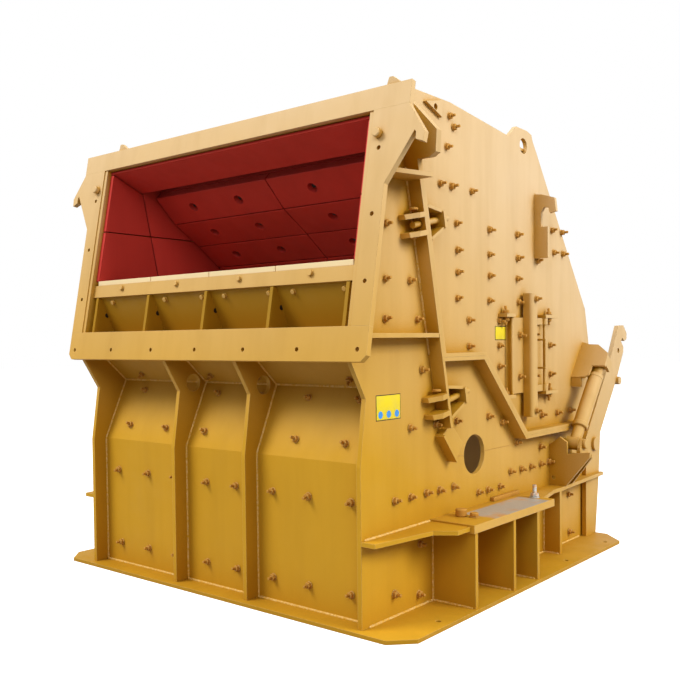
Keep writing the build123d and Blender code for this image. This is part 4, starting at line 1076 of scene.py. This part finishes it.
class CRUSHER_OT_clamps(Operator):
    """Fit the cross pins of the clamps with their washers and split pins"""
    bl_idname = "crusher.clamps"
    bl_label = "Clamp pins"

    def execute(self, context):
        for name, side in SIDES.items():
            parts = []
            for line in CLAMP_LINES:
                x, y = side * CLAMP_PIN_X, joint_depth(line) - CLAMP_PIN_SET
                parts += clamp_pin(x, y, line - CLAMP_HALF, line + CLAMP_HALF)
            dress(joined(parts, f"clamp_pins_{name}"), "stud_paint", FRAME_BODY)
        return {"FINISHED"}


class CRUSHER_OT_notices(Operator):
    """Fit the notice plates and the fine joint lines of the side plates"""
    bl_idname = "crusher.notices"
    bl_label = "Notice plates"

    def execute(self, context):
        for name, body, y_span, z_span in NOTICES:
            back = side_block(1, (SIDE_X, SIDE_X + NOTICE_PLATE), y_span, z_span, FINE_BEVEL)
            dress(back, "dark_steel_and_shade", body).name = name + "_border"
            inner_y, inner_z = ((low + NOTICE_EDGE, high - NOTICE_EDGE) for low, high in (y_span, z_span))
            film = side_block(1, [SIDE_X + out for out in NOTICE_FILM], inner_y, inner_z, FINE_BEVEL)
            dress(film, "notice_film", body).name = name
        low, high = (SIDE_X + out for out in NOTICE_SPOT)
        spots = [bar_between((low, depth(y), SPOT_Z), (high, depth(y), SPOT_Z), SPOT_R, 28, FINE_BEVEL)
                 for y in SPOT_YS]
        dress(joined(spots, "notice_spots"), "blue_film", FRAME_BODY)
        z_span = (PLATE_SEAM_Z, PLATE_SEAM_Z + PLATE_SEAM_HEIGHT)
        for name, side in SIDES.items():
            lines = [side_block(side, (SIDE_X, SIDE_X + PLATE_SEAM_OUT), span, z_span, FINE_BEVEL)
                     for span in PLATE_SEAMS]
            dress(joined(lines, f"plate_seams_{name}"), "stud_paint", FRAME_BODY)
        return {"FINISHED"}


# Fittings of the inspection doors

DOOR_FACE_X = 1.0785
HANDLE_Y = 1.740
HANDLE_ZS = (1.188, 1.361)
HANDLE_REACH = 0.055
HANDLE_R = 0.006
HANDLE_PAST = 0.005
BAR_FACE_X = 1.1405
BAR_BOLTS = ((1.600, 1.605), (1.600, 0.934))
DOOR_BOLTS = ((1.510, 1.392), (1.510, 1.145), (1.700, 1.392), (1.700, 1.145))
LUG_BOLTS = ((1.090, 1.335), (1.090, 1.880))
LUG_FACES = ((1.023, 1.043), (1.495, 1.515))


class CRUSHER_OT_doors(Operator):
    """Fit the handle and bolts of the inspection doors, and the bolts of their lugs"""
    bl_idname = "crusher.doors"
    bl_label = "Inspection doors"

    def execute(self, context):
        sizes = context.scene.crusher_studs
        for name, side in SIDES.items():
            low, high = HANDLE_ZS
            inner, outer, y = side * DOOR_FACE_X, side * (DOOR_FACE_X + HANDLE_REACH), depth(HANDLE_Y)
            handle = [bar_between((inner, y, low), (outer, y, low), HANDLE_R),
                      bar_between((inner, y, high), (outer, y, high), HANDLE_R),
                      upright_bar(outer, y, low - HANDLE_PAST, high + HANDLE_PAST, HANDLE_R, corners=16)]
            dress(joined(handle, f"door_handle_{name}"), "ochre_coat", f"door_{name}")
            seats = [((side * BAR_FACE_X, depth(y), z), (side, 0, 0)) for y, z in BAR_BOLTS]
            seats += [((side * DOOR_FACE_X, depth(y), z), (side, 0, 0)) for y, z in DOOR_BOLTS]
            studs_on(f"door_bolts_{name}", seats, sizes, f"door_{name}", DOOR_SEED)
            seats = []
            for x, y in LUG_BOLTS:
                for low, high in LUG_FACES:
                    seats.append(((side * x, depth(y), high), (0, 0, 1)))
                    seats.append(((side * x, depth(y), low), (0, 0, -1)))
            studs_on(f"door_lug_bolts_{name}", seats, sizes, HOUSING_BODY, LUG_SEED)
        return {"FINISHED"}


# Fittings of the cylinders

CYLINDER_X = 1.196
ROD_PIN = (2.012, 0.702)
CYLINDER_AXIS = Vector((0.0, 0.638177, 0.769889))
BARREL_SPAN = (0.120, 0.540)
BARREL_R = 0.047
CHEEK_END_X = 1.260
# Collars at the barrel's ends: where each starts and ends from the barrel's end, and how proud it stands
LOWER_COLLAR = (0.002, 0.034, 0.004)
UPPER_COLLAR = (0.030, 0.004, 0.003)
# Oil ports: distance from the barrel's ends, share of its radius where they start, and start, end and radius
# of boss and plug
PORT_INSET = 0.055
PORT_ROOT = 0.9
PORT_BOSS = (0.0, 0.020, 0.012)
PORT_PLUG = (0.018, 0.030, 0.009)
PIN_HEAD_SIZE = (0.022, 0.030)
PORT_WAY = Vector((0.0, 0.769889, -0.638177))


def along_cylinder(side, distance):
    """Place on a cylinder's axis at a distance from its lower pin."""
    start = Vector((side * CYLINDER_X, depth(ROD_PIN[0]), ROD_PIN[1]))
    return start + CYLINDER_AXIS * distance


class CRUSHER_OT_cylinders(Operator):
    """Fit the collars and oil ports of the cylinders, and the heads of their lower pins"""
    bl_idname = "crusher.cylinders"
    bl_label = "Cylinders"

    def execute(self, context):
        for name, side in SIDES.items():
            start, end = BARREL_SPAN
            near, far, proud = LOWER_COLLAR
            parts = [bar_between(along_cylinder(side, start + near), along_cylinder(side, start + far),
                                 BARREL_R + proud, corners=32, chamfer=0.003)]
            far, near, proud = UPPER_COLLAR
            parts.append(bar_between(along_cylinder(side, end - far), along_cylinder(side, end - near),
                                     BARREL_R + proud, corners=32, chamfer=0.003))
            for distance in (start + PORT_INSET, end - PORT_INSET):
                port = along_cylinder(side, distance) + PORT_WAY * BARREL_R * PORT_ROOT
                for (low, high, radius), corners in ((PORT_BOSS, 16), (PORT_PLUG, HEXAGON)):
                    parts.append(bar_between(port + PORT_WAY * low, port + PORT_WAY * high, radius, corners))
            dress(joined(parts, f"cylinder_fittings_{name}"), "ochre_coat", f"barrel_{name}")
            pin = Vector((side * CHEEK_END_X, depth(ROD_PIN[0]), ROD_PIN[1]))
            height, radius = PIN_HEAD_SIZE
            head = [bar_between(pin, pin + Vector((side * height, 0, 0)), radius, corners=28, chamfer=0.004)]
            dress(joined(head, f"cylinder_pin_head_{name}"), "ochre_coat", FRAME_BODY)
        return {"FINISHED"}


# Fittings on the bearing seats

STOP = (1.146, 0.735, 0.030, 0.040)
SEAT_NUT = (1.213, 0.755)
SEAT_BOLT = (1.213, 1.432, 0.075)
# Height and radius of the washer and nut beside the stop, of those on the bolt, and radius of the bolt
NUT_PLATE = (0.005, 0.028)
NUT_TOP = (0.024, 0.024)
BOLT_PLATE = (0.006, 0.030)
BOLT_NUT_TOP = (0.028, 0.025)
BOLT_R = 0.012
WEDGE_YS = (1.187, 1.491)
WEDGE_ZS = (0.444, 0.466)
WEDGE_X = 1.086


def nut_on_washer(x, y, washer, nut):
    """Washer and nut on a bearing seat, each from its height above the seat and its radius."""
    (middle, washer_r), (top, nut_r) = washer, nut
    return [upright_bar(x, y, SEAT_TOP, SEAT_TOP + middle, washer_r),
            upright_bar(x, y, SEAT_TOP + middle, SEAT_TOP + top, nut_r, HEXAGON, 0.003)]


class CRUSHER_OT_seats(Operator):
    """Fit the stop, bolts and wedge bar of the bearing seats"""
    bl_idname = "crusher.seats"
    bl_label = "Bearing seats"

    def execute(self, context):
        for name, side in SIDES.items():
            x, y, radius, height = STOP
            stop = upright_bar(side * x, depth(y), SEAT_TOP, SEAT_TOP + height, radius, 28, 0.005)
            wedge = side_block(side, (SIDE_X, WEDGE_X), WEDGE_YS, WEDGE_ZS)
            x, y = SEAT_NUT
            nut = nut_on_washer(side * x, depth(y), NUT_PLATE, NUT_TOP)
            dress(joined([stop, wedge] + nut, f"seat_fittings_{name}"), "stud_paint", FRAME_BODY)
            x, y, height = SEAT_BOLT
            bolt = [upright_bar(side * x, depth(y), SEAT_TOP, SEAT_TOP + height, BOLT_R, corners=16)]
            bolt += nut_on_washer(side * x, depth(y), BOLT_PLATE, BOLT_NUT_TOP)
            dress(joined(bolt, f"seat_bolts_{name}"), "bare_steel", FRAME_BODY)
        return {"FINISHED"}


# Floor and light: the floor's glow, the light of the surroundings, and place and size of each lamp
FLOOR_GLOW = 0.85
WORLD_LIGHT = 0.22
FRONT_LAMP = ((-6.8, -11.0, 13.0), 7.0)
SIDE_LAMP = ((14.0, 2.0, 9.5), 7.0)
FILL_LAMP = ((5.0, -8.0, 7.0), 5.0)
AIM = (0.0, 0.0, 1.2)


class CRUSHER_OT_stage(Operator):
    """Make the floor, the light and the camera"""
    bl_idname = "crusher.stage"
    bl_label = "Floor, light and camera"

    def execute(self, context):
        stage = context.scene.crusher_stage
        deselect_all()
        bpy.ops.mesh.primitive_plane_add(size=stage.floor_size, location=(0, 0, 0))
        floor = bpy.context.object
        floor.name = "floor"
        floor_material("floor_white", FLOOR_GLOW)
        floor.data.materials.append(bpy.data.materials["floor_white"])
        make_world(context.scene, WORLD_LIGHT)
        add_area("front_light", *FRONT_LAMP, stage.front_power)
        add_area("side_light", *SIDE_LAMP, stage.side_power)
        add_area("fill_light", *FILL_LAMP, stage.fill_power)
        add_camera(context.scene)
        return {"FINISHED"}


def make_world(scene, strength):
    """White surroundings for the camera and metal, softer for the light on surfaces."""
    world = bpy.data.worlds.new("studio")
    scene.world = world
    world.use_nodes = True
    tree = world.node_tree
    light = {"Color": (1.0, 1.0, 1.0), "Strength": ramp(tree, seen_directly(tree), strength, 1.0)}
    set_inputs(tree, tree.nodes["Background"], light)


def add_area(name, place, size, power):
    """Soft square lamp aimed at the middle of the machine."""
    bpy.ops.object.light_add(type="AREA", location=place)
    lamp = bpy.context.object
    lamp.name = name
    lamp.data.size = size
    lamp.data.energy = power
    aim = Vector(AIM) - Vector(place)
    lamp.rotation_euler = aim.to_track_quat("-Z", "Y").to_euler()


def add_camera(scene):
    """Camera at the photograph's place, with the photograph's frame."""
    x, y, z = CAMERA_PLACE
    bpy.ops.object.camera_add(location=(x, depth(y), z))
    camera = bpy.context.object
    camera.name = "photo_camera"
    yaw = Matrix.Rotation(math.radians(CAMERA_YAW), 4, "Z")
    pitch = Matrix.Rotation(math.radians(90.0 - CAMERA_PITCH), 4, "X")
    roll = Matrix.Rotation(math.radians(CAMERA_ROLL), 4, "Z")
    camera.rotation_euler = (yaw @ pitch @ roll).to_euler()
    camera.data.sensor_width = SENSOR_WIDTH
    camera.data.lens = PHOTO_FOCAL_PX / PHOTO_SIZE * SENSOR_WIDTH
    camera.data.shift_x = (PHOTO_SIZE / 2 - PHOTO_CENTRE_PX[0]) / PHOTO_SIZE
    camera.data.shift_y = (PHOTO_CENTRE_PX[1] - PHOTO_SIZE / 2) / PHOTO_SIZE
    scene.camera = camera


class CRUSHER_PT_looks(Panel):
    """Panel that lists the operators"""
    bl_idname = "CRUSHER_PT_looks"
    bl_label = "Impact crusher"
    bl_space_type = "VIEW_3D"
    bl_region_type = "UI"
    bl_category = "Crusher"

    def draw(self, context):
        for operator in OPERATORS:
            self.layout.operator(operator.bl_idname)


GROUPS = {"crusher_paint": CRUSHER_PG_paint, "crusher_studs": CRUSHER_PG_studs,
          "crusher_welds": CRUSHER_PG_welds, "crusher_stage": CRUSHER_PG_stage}
OPERATORS = (CRUSHER_OT_paint, CRUSHER_OT_studs, CRUSHER_OT_liners, CRUSHER_OT_welds, CRUSHER_OT_inlet,
             CRUSHER_OT_clamps, CRUSHER_OT_notices, CRUSHER_OT_doors, CRUSHER_OT_cylinders, CRUSHER_OT_seats,
             CRUSHER_OT_stage)


def register():
    for group in GROUPS.values():
        bpy.utils.register_class(group)
    for name, group in GROUPS.items():
        setattr(bpy.types.Scene, name, PointerProperty(type=group))
    for operator in OPERATORS:
        bpy.utils.register_class(operator)
    bpy.utils.register_class(CRUSHER_PT_looks)


def unregister():
    bpy.utils.unregister_class(CRUSHER_PT_looks)
    for operator in reversed(OPERATORS):
        bpy.utils.unregister_class(operator)
    for name, group in GROUPS.items():
        delattr(bpy.types.Scene, name)
        bpy.utils.unregister_class(group)


def main():
    """Register the add-on, run its operators in order and set the view transform."""
    register()
    for operator in OPERATORS:
        area, call = operator.bl_idname.split(".")
        getattr(getattr(bpy.ops, area), call)()
    bpy.context.scene.view_settings.view_transform = "Standard"


if __name__ == "__main__":
    main()
